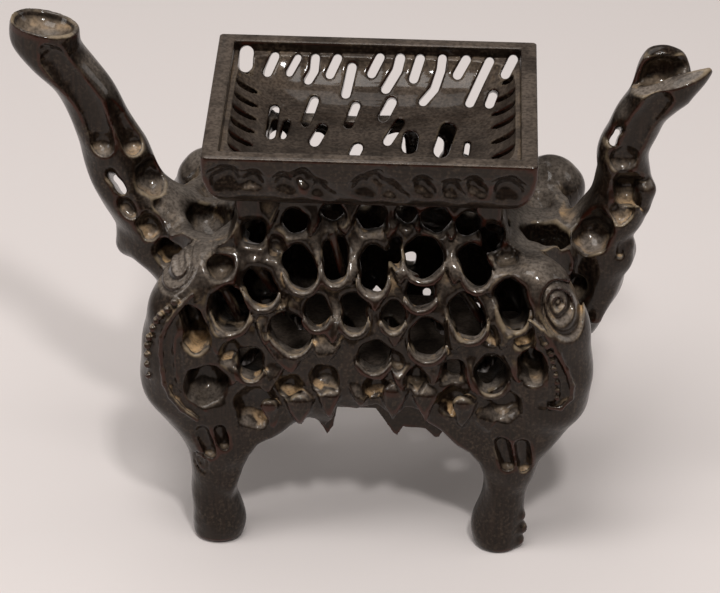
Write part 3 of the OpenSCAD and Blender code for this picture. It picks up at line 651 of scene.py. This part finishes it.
# Rows of beads on the front knees
BEADS = [
    (-46.4, 70.4, 1), (-48.2, 68, 1), (-50, 66, 1), (-51, 64.2, 1), (-52, 61.8, 1), (-53, 59, 1),
    (-53.4, 56.6, 1.05), (-53.5, 54, 1), (-53.6, 51.3, 0.9), (-53.3, 48.4, 0.8), (42, 65.5, 0.7),
    (44, 62.3, 0.9), (45, 60, 0.8), (45.6, 58, 0.8), (46, 56, 0.8), (46.4, 54, 0.8), (46.8, 52, 0.7),
    (47, 49.8, 0.7), (47, 47.6, 0.7),
]
for x0, z0, size in BEADS:
    y0 = knee_face(x0, z0) - 0.05
    block.add(*peg((x0, y0, z0), (x0, y0, z0 + 0.01), size, size), 0.35)


def whorl(x0, z0, width, length, lean, rings=1.5, depth=0.6, off=0.35):
    """Rings around a knot in the face, crowded towards the upper end."""
    c, s = math.cos(math.radians(lean)), math.sin(math.radians(lean))

    def ripple(x, y, z):
        u, v = (x - x0) * c + (z - z0) * s, (z - z0) * c - (x - x0) * s
        gap = np.sqrt((u / width) ** 2 + (v / length) ** 2 + 0.003)
        rim = np.sqrt((u / width) ** 2 + ((v - off * length * (1 - gap)) / length) ** 2 + 0.003)
        fade = smooth_step(1.08, 0.92, gap)
        return fade * (depth * np.cos(2 * math.pi * rim * width / rings) - depth * 1.1)
    reach = length + 2
    return ripple, (x0 - reach, -39, z0 - reach), (x0 + reach, -20, z0 + reach)


block.press(*whorl(47.4, 69.8, 4.2, 7.8, 28, off=0.5))
block.press(*whorl(-46.6, 76.4, 3.6, 6.4, -45))
block.press(*whorl(-40.3, 24.2, 1.8, 3.2, 15, rings=1.2, depth=0.3))

# Nothing stands proud of the stock that the body was cut from
for near, far in ((-40, -34), (34, 40)):
    block.cut(lambda x, y, z: body_half_d - 0.05 - abs(y), (-60, near, -2), (60, far, 98), 0.3)


# Sawing a piece free: marching through the lattice cells that the surface crosses
CELL_CORNERS = np.array(list(np.ndindex(2, 2, 2)))
CELL_EDGES = [(a, b) for a in range(8) for b in range(a + 1, 8)
              if abs(CELL_CORNERS[a] - CELL_CORNERS[b]).sum() == 1]


def skin(field, axes):
    """Points and faces on the zero surface of a field, a point to each cell it crosses."""
    inside = field < 0
    count = np.zeros(np.array(field.shape) - 1, np.int8)
    for i, j, k in CELL_CORNERS:
        count += inside[i:i + count.shape[0], j:j + count.shape[1], k:k + count.shape[2]]
    cells = np.argwhere((count > 0) & (count < 8))
    number = np.full(count.shape, -1, np.int64)
    number[tuple(cells.T)] = np.arange(len(cells))
    values = np.stack([field[tuple((cells + corner).T)] for corner in CELL_CORNERS], 1)
    total, crossings = np.zeros((len(cells), 3)), np.zeros(len(cells))
    for a, b in CELL_EDGES:
        crossed = (values[:, a] < 0) != (values[:, b] < 0)
        gap = np.where(crossed, values[:, a] - values[:, b], 1)
        t = np.where(crossed, values[:, a] / gap, 0)
        spot = CELL_CORNERS[a] + t[:, None] * (CELL_CORNERS[b] - CELL_CORNERS[a])
        total += np.where(crossed[:, None], spot, 0)
        crossings += crossed
    spots = cells + total / crossings[:, None]
    points = np.stack([np.interp(spots[:, i], np.arange(len(axes[i])), axes[i]) for i in range(3)], 1)
    faces = []
    for axis in range(3):
        back_b, back_c = (-np.eye(3, dtype=int)[(axis + turn) % 3] for turn in (1, 2))
        last = inside.shape[axis]
        first, second = inside.take(range(last - 1), axis), inside.take(range(1, last), axis)
        edges = np.argwhere(first != second)
        ring = [edges + step for step in (back_b + back_c, back_c, 0, back_b)]
        quad = np.stack([number[tuple(cells.T)] for cells in ring], 1)
        inward = ~first[tuple(edges.T)]
        quad[inward] = quad[inward, ::-1]
        faces.append(quad)
    return points, np.vstack(faces)


def sample(timber, points):
    """A block's field at points, straight-line between lattice points."""
    axes = timber.axes
    step = axes[0][1] - axes[0][0]
    place = [np.clip((points[:, i] - axes[i][0]) / step, 0, len(axes[i]) - 1.001) for i in range(3)]
    base = [p.astype(int) for p in place]
    part = [p - b for p, b in zip(place, base)]
    value = 0
    for corner in CELL_CORNERS:
        weight = math.prod(p if upper else 1 - p for p, upper in zip(part, corner))
        value = value + weight * timber.field[tuple(b + upper for b, upper in zip(base, corner))]
    return value


def either_side(timber, points, reach):
    """A block's field ahead of and behind points, along each axis."""
    for shift in np.eye(3) * reach:
        yield sample(timber, points + shift), sample(timber, points - shift)


def saw_free(name, timber, zone, low, high):
    """A mesh object of the wood of a block that lies inside a zone."""
    kept_share = 0.5
    spans, x, y, z = timber.window(low, high)
    field = np.maximum(timber.field[spans], zone(x, y, z))
    outside = 5.0
    field = np.pad(field, 1, constant_values=outside)
    axes = [np.concatenate([[a[0] - timber.step], a, [a[-1] + timber.step]])
            for a in (x.ravel(), y.ravel(), z.ravel())]
    points, faces = skin(field, axes)
    rough = bpy.data.meshes.new(name + "_rough")
    rough.from_pydata(points.tolist(), [], faces.tolist())
    piece = show(name, rough)
    piece.modifiers.new("thin", "DECIMATE").ratio = kept_share
    thinned = piece.evaluated_get(bpy.context.evaluated_depsgraph_get())
    mesh = bpy.data.meshes.new_from_object(thinned)
    piece.modifiers.clear()
    piece.data = mesh
    bpy.data.meshes.remove(rough)
    mesh.name = name
    spots = np.zeros(len(mesh.vertices) * 3)
    mesh.vertices.foreach_get("co", spots)
    spots = spots.reshape(-1, 3)
    mark_surface(mesh, spots, timber)
    mesh.vertices.foreach_set("co", (spots * MM + np.array(body_middle)).ravel())
    mesh.shade_smooth()
    mesh.set_sharp_from_angle(angle=math.radians(55))
    mesh.update()
    return piece


def mark_surface(mesh, spots, timber):
    """Stores how hollow, worn and sheltered each point is, for the finish."""
    out = np.stack([ahead - behind for ahead, behind in either_side(timber, spots, 0.5)], 1)
    out /= np.maximum(np.linalg.norm(out, axis=1, keepdims=True), 1e-6)
    bend = sum((ahead + behind for ahead, behind in either_side(timber, spots, 1.0)),
               -6 * sample(timber, spots))
    shelter = 0
    for gap in (1.5, 3.0, 5.0, 8.0):
        shelter = shelter + np.clip(1 - sample(timber, spots + out * gap) / gap, 0, 1) / 4
    marks = {"worn": np.clip(bend, 0, 1), "hollow": np.clip(-bend, 0, 1),
             "shelter": shelter, "upward": out[:, 2]}
    for key, value in marks.items():
        mesh.attributes.new(key, "FLOAT", "POINT").data.foreach_set("value", value.astype(np.float32))


# ---- finish
# Dark-stained tropical hardwood, carved and finished with wax: nearly black, with a grey wax
# bloom and painted sheen on the upward faces, kept off the hollows, which stay dark as painted
# shade; red-brown where hands have rubbed the thorns, tan dust in the hollows.
def carved_hardwood(name, grain_along, bloom_and_sheen_colour="#7c7167", dust=1.0):
    material = bpy.data.materials.new(name)
    material.use_nodes = True
    tree = material.node_tree
    shader = tree.nodes["Principled BSDF"]
    place = add_node(tree, "ShaderNodeTexCoord").outputs["Object"]
    along_mm, across_mm = 14.0, 0.7
    stretch = [1 / (along_mm if axis == grain_along else across_mm) / MM for axis in "xyz"]
    grained = add_node(tree, "ShaderNodeMapping", inputs={"Scale": stretch}, Vector=place).outputs[0]
    level = {}
    for key, scale, detail, rough, spot in (
            ("grain", 1.0, 4.0, 0.6, grained), ("cloud", 1 / (9 * MM), 3.0, 0.5, place),
            ("grit", 1 / (0.8 * MM), 3.0, 0.5, place), ("chatter", 1 / (2.2 * MM), 2.0, 0.5, place)):
        noise = {"Scale": scale, "Detail": detail, "Roughness": rough}
        level[key] = add_node(tree, "ShaderNodeTexNoise", inputs=noise, Vector=spot).outputs[0]
    for key in ("upward", "shelter", "worn", "hollow"):
        level[key] = add_node(tree, "ShaderNodeAttribute", {"attribute_name": key}).outputs["Fac"]

    # Coats from the wood up: name, what lies under it, its colour, and the ramps that its share is
    # the product of. A ramp is a level, where it starts and ends, and its values there.
    coats = (
        ("dust", "#94806a", "#c6a277", [("cloud", 0.45, 0.65, 0, 1)]),
        ("stained", "#0b0705", "#1d140f", [("grain", 0.35, 0.7, 0, 1)]),
        ("speckled", "stained", "#4d4034", [("grit", 0.45, 0.75, 0, 1), ("cloud", 0.35, 0.6, 0.1, 0.45)]),
        # Grey wax bloom together with painted sheen: lighter on the upward faces, where the overhead lamps
        # shine on them, and left off sheltered spots, which stay dark as painted shade
        ("wax_bloom_and_sheen", "speckled", bloom_and_sheen_colour, [
            ("upward", 0.3, 0.85, 0, 1), ("cloud", 0.3, 0.62, 0.4, 1),
            ("shelter", 0.75, 0.25, 0, 1), ("grit", 0.3, 0.65, 0.45, 1)]),
        ("reddened", "wax_bloom_and_sheen", "#35170f", [
            ("worn", 0.35, 0.9, 0, 1), ("cloud", 0.62, 0.4, 0, 1), ("upward", 0.7, -0.2, 0, 0.8)]),
        ("rimmed", "reddened", "#97846a", [
            ("worn", 0.35, 0.75, 0, 1), ("upward", 0.1, 0.6, 0, 1),
            ("shelter", 0.05, 0.2, 0, 1), ("cloud", 0.42, 0.62, 0, dust * 0.6)]),
        ("dusted", "rimmed", "dust", [
            ("upward", 0.2, 0.75, 0, 1), ("shelter", 0.15, 0.45, 0, 1), ("cloud", 0.38, 0.62, 0.25, 1),
            ("hollow", 0.05, 0.25, 0, 1), ("grit", 0.25, 0.6, dust * 0.4, dust * 0.9)]),
    )
    laid = {}
    for coat, under, colour, ramps in coats:
        share = None
        for key, low, high, at_low, at_high in ramps:
            ramp = add_node(tree, "ShaderNodeMapRange", {"interpolation_type": "SMOOTHSTEP"},
                            {"From Min": low, "From Max": high, "To Min": at_low, "To Max": at_high},
                            Value=level[key]).outputs[0]
            share = ramp if share is None else add_node(
                tree, "ShaderNodeMath", {"operation": "MULTIPLY"}, _0=share, _1=ramp).outputs[0]
        mixed = add_node(tree, "ShaderNodeMix", {"data_type": "RGBA"}, _0=share)
        for socket, paint in ((mixed.inputs[6], under), (mixed.inputs[7], colour)):
            if paint in laid:
                tree.links.new(laid[paint], socket)
            else:
                socket.default_value = linear(paint)
        laid[coat] = mixed.outputs[2]
    tree.links.new(laid["dusted"], shader.inputs["Base Color"])
    bare_roughness, dust_roughness = 0.3, 0.45
    rough = add_node(tree, "ShaderNodeMath", {"operation": "MULTIPLY_ADD"},
                     {1: dust_roughness, 2: bare_roughness}, _0=share)
    tree.links.new(rough.outputs[0], shader.inputs["Roughness"])
    for key, value in (("IOR", 1.5), ("Specular IOR Level", 0.12), ("Specular Tint", linear("#ffdcb8")),
                       ("Coat Weight", 0.4), ("Coat Roughness", 0.09)):
        shader.inputs[key].default_value = value
    tooled = add_node(tree, "ShaderNodeBump", inputs={"Strength": 0.5, "Distance": 0.35 * MM},
                      Height=level["chatter"])
    bump = add_node(tree, "ShaderNodeBump", inputs={"Strength": 0.4, "Distance": 0.12 * MM},
                    Height=level["grain"], Normal=tooled.outputs[0])
    tree.links.new(bump.outputs[0], shader.inputs["Normal"])
    return material


# The bloom colours given here are laid on as wax bloom and painted sheen on the upward faces
wood_upright = carved_hardwood("carved_hardwood_upright", "z")
wood_across = carved_hardwood("carved_hardwood_across", "x", "#5a4f46", 0.2)

# Each piece runs this far past its seam, as a glued and pared joint hides the line
seam_lap = 0.8


def fit_piece(name, node, timber, zone, low, high, body="body", material=wood_upright):
    """Saws a piece free, finishes it and sets it on its body."""
    piece = saw_free(name, timber, zone, low, high)
    piece.data.materials.append(material)
    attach(piece, body)
    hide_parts(node)


# ---- legs
# Four cabriole legs of the same hardwood, with round knees and hoof feet, sawn from the corners
# of the block with the grain upright. Dowels from the boards and the shoulders hold them.
def corner_zone(side_x, side_y):
    def zone(x, y, z):
        beyond_belly = np.minimum(seam_x - side_x * x, meet(chamber_half_w - side_x * x, z - apron_z))
        return meet(beyond_belly, seam_y - side_y * y) - seam_lap
    return zone


for label, side_x, side_y in (("front_left", -1, -1), ("front_right", 1, -1),
                              ("rear_left", -1, 1), ("rear_right", 1, 1)):
    low, high = zip(sorted((20 * side_x, 60 * side_x)), sorted((15 * side_y, 40 * side_y)), (-2, 85))
    fit_piece("carved_leg_" + label, "leg_" + label, block, corner_zone(side_x, side_y), low, high)


# ---- boards
# Front and rear boards, bellied like the block and pierced with holes between thorned webs.
# They run from the neck to a ragged hem and are doweled into the legs and the shoulders.
def panel_zone(side):
    def zone(x, y, z):
        inner = inner_depth(z) - side * y
        wide = np.minimum(meet(abs(x) - seam_x, apron_z - z), abs(x) - chamber_half_w)
        return meet(inner, wide) - seam_lap
    return zone


for label, side in (("front", -1), ("rear", 1)):
    low, high = zip((-40, 40), sorted((12 * side, 40 * side)), (25, 96))
    fit_piece("carved_panel_" + label, label + "_panel", block, panel_zone(side), low, high)


# ---- shoulders
# Two blocks between the boards that close the sides of the neck and fill the gap between the
# front and rear knees. The branches are doweled to them.
def shoulder_zone(side):
    def zone(x, y, z):
        between_panels = meet(abs(y) - inner_depth(z), side * x - seam_x)
        between_knees = meet(abs(y) - seam_y, side * x - cheek_x, seam_x - side * x)
        return meet(np.minimum(between_panels, between_knees), -side * x) - seam_lap
    return zone


# Sockets in the neck for the tray's pegs
for x0, y0 in ((-29, -8), (-29, 8), (29, -8), (29, 8)):
    block.cut(*peg((x0, y0, 90), (x0, y0, 100), 1.6, 1.6), 0.2)

for label, side in (("left", -1), ("right", 1)):
    low, high = zip(sorted((20 * side, 56 * side)), (-30, 30), (33, 97))
    fit_piece("carved_shoulder_" + label, label + "_shoulder", block, shoulder_zone(side), low, high)

# ---- tray
# Shallow hopper carved from one board, with an ovolo underside and a flat moulded rim. Slots
# are sawn right through floor and walls, raked back so that ash falls clear.
tray_half_w = 40.0
tray_half_d = 34.0
rim_z = 110.0
lip_z = 107.0
rim_w = 4.0
foot_half_w = 32.0
foot_half_d = 26.0
floor_top_z = 98.0
rake = math.radians(30)

tray_span = (-42, -36, 90), (42, 36, 111.5)
tray_block = Block(*tray_span, fine_lattice)

# Ovolo: how far the side has swung out from the foot, by height
swing = np.radians(np.arange(0, 91, 6))
ovolo_z = np.append(seat_z + (lip_z - seat_z) * (1 - np.cos(swing)), rim_z)
ovolo_share = np.append(np.sin(swing), 1)


def tray_body(x, y, z):
    share = np.interp(z, ovolo_z, ovolo_share)
    slope = np.interp(z, ovolo_z, np.append(np.sqrt(np.sin(swing)) * 0.6 + 0.4, 1))
    corner_r = 1.2
    side_x = abs(x) - foot_half_w - (tray_half_w - foot_half_w) * share
    side_y = abs(y) - foot_half_d - (tray_half_d - foot_half_d) * share
    corner = np.sqrt(np.maximum(side_x + corner_r, 0) ** 2
                     + np.maximum(side_y + corner_r, 0) ** 2) - corner_r
    at_corner = (side_x > -corner_r) & (side_y > -corner_r)
    side = np.where(at_corner, corner, np.maximum(side_x, side_y)) * slope
    return meet(side, seat_z - z, z - rim_z)


def tray_bowl(x, y, z):
    """A basin with soft corners, then the ledge and the upright lip above it."""
    ledge_w, squareness, flatness = 5.0, 7, 5.5
    across, back = abs(x) / (tray_half_w - ledge_w), abs(y) / (tray_half_d - ledge_w)
    reach = (across ** squareness + back ** squareness) ** (1 / squareness)
    basin = (floor_top_z + (lip_z - floor_top_z) * np.minimum(reach, 1.2) ** flatness - z) * 0.5
    lip = meet(abs(x) - tray_half_w + rim_w, abs(y) - tray_half_d + rim_w, lip_z - z)
    return np.minimum(meet(basin, (reach - 1) * 20), lip)


tray_block.add(tray_body, *tray_span, 0.3)
tray_block.cut(tray_bowl, *tray_span, 0.5)

# Slots sawn through the far wall and the floor. Each is (x, height) points on the slanting
# plane square to the saw, then the slot's half width.
SLOTS = [
    [(-33, 107.3), (-33, 103.9), 1.75], [(-25.8, 106.5), (-27.5, 102.3), 1.1],
    [(-20, 106.3), (-22, 102.4), 0.9], [(-15.6, 106.4), (-15.8, 103.2), (-17.2, 100.7), 1.1],
    [(-10, 106.5), (-11.8, 102.3), 1.1], [(-6.3, 104.3), (-7.6, 97.4), 1.15],
    [(0.7, 107), (-1.3, 102.8), 1.1], [(5.8, 107), (5.1, 103.8), (2.4, 99), 1.2],
    [(10.8, 107), (9.3, 101.8), 1.15], [(16.4, 107.2), (16.1, 104.2), (14.6, 99.3), (11.9, 95.9), 1.05],
    [(22.4, 107.1), (20.3, 103.1), 1.15], [(28.3, 106.8), (25.9, 101.4), (23.6, 95.9), 1.1],
    [(34.2, 107.5), (32.3, 103.4), 1.15], [(29.4, 98.2), (28.5, 95.6), 1.1],
    [(-25, 92.6), (-25.2, 85.7), 1.1], [(-21.6, 89), (-22.2, 85.5), 0.75],
    [(-15.4, 95.4), (-17, 89.4), 1.1], [(-12.8, 87.8), (-14.3, 84.4), 1.3],
    [(-4.9, 94.3), (-6.4, 89.2), 1.05], [(-3.7, 83), (-4.3, 81.5), 1.3], [(4, 95.6), (2.2, 91.5), 1.25],
    [(6.3, 90), (3.6, 85), 1.1], [(9.2, 86), (9, 83.8), 1.9], [(18.4, 88.4), (16.9, 83), 1.9],
    [(23.3, 84.8), (23, 82.1), 0.6],
]


def raked_slot(points):
    half = points[-1]

    def shape(x, y, z):
        height = z * math.cos(rake) + y * math.sin(rake)
        best = 9.0
        for (ax, ah), (bx, bh) in zip(points[:-2], points[1:-1]):
            ex, eh = bx - ax, bh - ah
            t = np.clip(((x - ax) * ex + (height - ah) * eh) / (ex * ex + eh * eh), 0, 1)
            best = np.minimum(best, np.sqrt((x - ax - t * ex) ** 2 + (height - ah - t * eh) ** 2))
        return meet(best - half, -24 - y)
    xs = [point[0] for point in points[:-1]]
    return shape, (min(xs) - 4, -26, 90), (max(xs) + 4, 36, 111.5)


for slot_points in SLOTS:
    tray_block.cut(*raked_slot(slot_points), 0.5)

# Slots through the side walls, sloping back as they go down: y of the top
for side, tops in ((-1, (22, 15, 8, 1, -6, -13, -20)), (1, (21, 14, 7, 0, -8, -16))):
    for y0 in tops:
        for step_in in (0, 3, 6):
            start, end = (side * (40 - step_in), y0, 105.2), (side * (35.5 - step_in), y0 + 3.5, 99.5)
            tray_block.cut(*peg(start, end, 1.1, 1.1), 0.4)

# Pits carved around the ovolo: (place along the side, z, width, length, lean)
SKIRT_PITS = [
    (-34, 102.5, 6.5, 4, 60), (-27.5, 103, 3, 4.5, 50), (-19.5, 102, 3.4, 5, 45), (-11, 100.5, 3, 6, 55),
    (-15.5, 104, 2, 4, 50), (-0.5, 101.5, 4, 5.5, 45), (6.5, 100.5, 2.6, 6, 55), (2.5, 104.2, 1.8, 4, 50),
    (13.5, 102.5, 3, 4.5, 35), (20.5, 101.5, 3.4, 5.5, 40), (26, 103, 2.4, 4.5, 50), (33, 102, 6, 5, -40),
]


def scoop(spot, toward, width, length, lean):
    """A shallow pit in the ovolo, soft at its edge."""
    tray_block.cut(*bore(spot, toward, width, length, lean, 2.2, flare=0.8, soft=1.8), hole_edge)


for side in (-1, 1):
    for x0, z0, *sizes in SKIRT_PITS:
        scoop((-side * x0, side * 33.2, z0), (0, -side * 0.94, -0.34), *sizes)
    for y0 in (-23, -13, -3, 7, 17):
        scoop((side * 39.2, y0, 101.5), (-side * 0.94, 0, -0.34), 3.4, 5, 45)


def anywhere(x, y, z):
    """The zone of a piece that takes up its whole block."""
    return -9.0


fit_piece("pierced_tray", "tray", tray_block, anywhere, *tray_span, body="tray", material=wood_across)

# ---- handles
# Two branches carved in the round and doweled to the cheeks: a tall one cut across and
# hollowed at its end, and a shorter one that splits into a beak.
def grow_branch(rows, low, high):
    """A block with a branch in it, and as much of the cheek and knees as it grows out of."""
    timber = Block(low, high, fine_lattice)
    rough_out(timber, low, high, rows)
    timber.press(undulation, low, high)
    return timber


def egg(centre, radii, slope, slant=0.0):
    """An oval lobe or hollow, which may be slanted."""
    def shape(x, y, z):
        dx, dy = x - centre[0], y - centre[1]
        dz = z - centre[2] + dx * slant
        return (np.sqrt((dx / radii[0]) ** 2 + (dy / radii[1]) ** 2 + (dz / radii[2]) ** 2) - 1) * slope
    return shape


left_span = (-92, -20, 45), (-44, 20, 130)
left_block = grow_branch(LEFT_BRANCH, *left_span)

# Slanting cut across the end, and the hollow in it
end_slant = 0.16
left_block.cut(lambda x, y, z: 129.3 - z - (x + 89) * end_slant, (-92, -14, 118), (-60, 14, 131), 0.5)
left_block.cut(egg((-80.4, 0, 128.2), (7.4, 6.2, 4.6), 4, end_slant), (-92, -14, 118), (-66, 14, 131), 0.7)

# Long flutes down the front of the branch, then the slit, the round hollow and the pits below
LEFT_FLUTES = [
    [(-78.6, -9.8, 123.5, 3), (-77, -9.9, 121.5, 4.2), (-72.8, -9.8, 115.7, 4.6),
     (-68.8, -9.4, 108.3, 4.4), (-66.6, -8.6, 101.8, 3.8), (-66.1, -8, 98.6, 3.2)],
    [(-66.2, -8.2, 117.5, 1.6), (-63.2, -7.2, 111.5, 2.4), (-60.4, -5.6, 104.6, 3),
     (-58.4, -4.8, 97.8, 2.6)],
]
LEFT_HOLLOWS = [
    ((-62.6, -8, 88.4), gouge_rake, 1.9, 6, 38, 30), ((-57, 8, 80), (0, -1, 0), 7, 9, 20, 5),
    ((-60, -9, 82), gouge_rake, 3, 5, 40, 2), ((-56, 9, 66), (0, -1, 0), 6, 8, 0, 5),
    ((-61, 7, 92), (0, -1, 0), 4, 9, 20, 3.5),
]


def carve_branch(timber, flutes, hollows):
    """Flutes down the front and the rear of a branch, and hollows cut in as gouged."""
    for flute in flutes:
        for side in (1, -1):
            stroke(timber.cut, [(x0, side * y0, z0, radius + 0.3) for x0, y0, z0, radius in flute], 0.3)
    for hollow in hollows:
        timber.cut(*bore(*hollow), 1.2)


carve_branch(left_block, LEFT_FLUTES, LEFT_HOLLOWS + ROOT_HOLLOWS + SIDE_PITS)
# The round ends of the flutes, cut in deeper
for end in (((-66.2, -7.6, 101.5), (-66.2, -6.6, 98.8)), ((-58.6, -4.8, 100.5), (-58.4, -4, 97.6))):
    left_block.cut(*peg(*end, 2.8, 2.8), 0.8)
left_block.add(*peg((-59.5, -2, 70.5), (-60.5, -2, 68.5), 3.4, 3), 3)


def outside_cheek(side):
    return lambda x, y, z: meet(cheek_x - side * x, abs(y) - seam_y) - seam_lap


fit_piece("branch_handle_left", "handle_left", left_block, outside_cheek(-1), *left_span)

right_span = (44, -20, 45), (84, 20, 127)
right_block = grow_branch(RIGHT_BRANCH, *right_span)

# The beak: a long low lip in front, a rounded lobe behind, and the cleft between them
beak_end = (84, 14, 127)
right_block.cut(lambda x, y, z: meet(115.6 + (x - 64.5) * 0.36 - z, y - 0.5), (58, -14, 108), beak_end, 1.0)
right_block.cut(lambda x, y, z: meet(122.5 - z - (x - 71) * 0.1, 0.5 - y), (58, -1, 108), beak_end, 1.0)
right_block.cut(lambda x, y, z: meet(76.5 - x - (z - 118) * 0.4, -y), (68, -1, 108), beak_end, 1.6)
right_block.add(*peg((74, -3, 116), (80.6, -1.5, 121), 3.6, 0.9), 2.5)
right_block.add(egg((70.3, 4, 117.5), (6, 3.4, 7), 3.4), (60, -3, 106), (80, 10, 127), 2)
right_block.cut(*peg((66.5, 0.6, 117.2), (84, 0.8, 124), 1.8, 3.0), 1.2)
right_block.cut(egg((70, 0.8, 119), (5, 2.4, 4), 2.4), (60, -6, 110), (84, 8, 127), 0.8)

RIGHT_FLUTES = [
    [(70.5, -9.6, 116.5, 2.4), (69.2, -9.7, 114.5, 4), (65.6, -9.6, 108.5, 4.6),
     (63, -9.5, 102.5, 4.6), (61.6, -9, 99, 4.2)],
]
RIGHT_HOLLOWS = [
    ((61.4, -6.4, 98), gouge_rake, 6, 5, 0, 3), ((59.3, -6, 104.6), gouge_rake, 1.7, 4.6, -25, 24),
    ((63, -6.5, 90), gouge_rake, 7, 7.2, 0, 6.5), ((61.6, -8, 84.5), gouge_rake, 5, 5, -20, 1.8),
    ((62.1, -8.5, 73.8), gouge_rake, 1.4, 2.2, -15, 30), ((66.5, -5, 88), (-1, 0.3, 0), 3, 8, 10, 2),
    ((62, 7, 80), (-0.2, -1, 0), 6, 8, 0, 5), ((61, 7, 92), (0, -1, 0), 5, 8, 0, 4),
    ((58, 8, 64), (0, -1, 0), 6, 9, 0, 5),
]
carve_branch(right_block, RIGHT_FLUTES, RIGHT_HOLLOWS + ROOT_HOLLOWS + SIDE_PITS)
# The bulge beside the round hollow, and the roots that run down to the knee
ROOTS = [
    ((67.2, -3, 88.5), (66.5, -3, 84), 2.6, 2), ((63, -5, 74), (62.2, -5, 69), 2.4, 2.2),
    ((62.2, -5, 69), (59, -6, 62), 1.6, 2), ((58.4, -6.5, 61), (56.6, -8, 54.5), 2.2, 1.6),
]
for root in ROOTS:
    right_block.add(*peg(*root), 1.6)

fit_piece("branch_handle_right", "handle_right", right_block, outside_cheek(1), *right_span)

# ---- floor
# A board pinned up under the body, with narrow slots for air and a ragged curtain that hangs
# from its front and rear edges into thorns.
floor_z = 36.0
floor_top = 41.0
curtain_y = 22.4
floor_span = (-46, -27, 26), (46, 27, 43)
floor_block = Block(*floor_span, 0.5)
CURTAIN = [
    (-26, 36), (-20, 34), (-17.5, 32.5), (-16, 30.5), (-14.5, 33), (-12.5, 33), (-10.5, 30), (-9.5, 28),
    (-8, 30.5), (-7, 36), (2.5, 36), (4.5, 33), (7, 29), (8, 28.4), (9.5, 31), (15, 30.5), (17.5, 28),
    (18.3, 28), (19.7, 30.5), (22, 30.5), (26, 35),
]


def floor_board(x, y, z):
    wings = meet(abs(x) - 44, abs(y) - 18)
    middle = meet(abs(x) - chamber_half_w, abs(y) - 24.6)
    board = meet(np.minimum(wings, middle), floor_z - z, z - floor_top)
    hem = np.interp(x, *zip(*CURTAIN)) - z
    curtain = meet(hem * 0.7, z - 39, abs(abs(y) - curtain_y) - 2.2, abs(x) - chamber_half_w)
    return np.minimum(board, curtain)


floor_block.add(floor_board, *floor_span, 0.6)
for x0 in (-30, -18, -6, 6, 18, 30):
    for side in (-1, 1):
        spot = (x0, side * 9, floor_top)
        floor_block.cut(*bore(spot, (0, 0, -1), 2.4, 8.5, 20 * side, through, flare=0.2), 0.5)
fit_piece("floor_board", "floor_panel", floor_block, anywhere, *floor_span, material=wood_across)

# ---- dowels, pins and pegs
# Turned from a plain pale hardwood and left bare, as they are hidden in the joints.
# Their pale colour is laid on only the upward, unsheltered faces as painted sheen, over the dark stain
dowel_wood = carved_hardwood("bare_dowel_wood", "y", "#b98f62", 0.0)
for label in ("panel_dowels", "side_dowels", "handle_dowels", "floor_pins", "tray_pegs"):
    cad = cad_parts[label]
    cad.data.materials.clear()
    cad.data.materials.append(dowel_wood)

low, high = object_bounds()
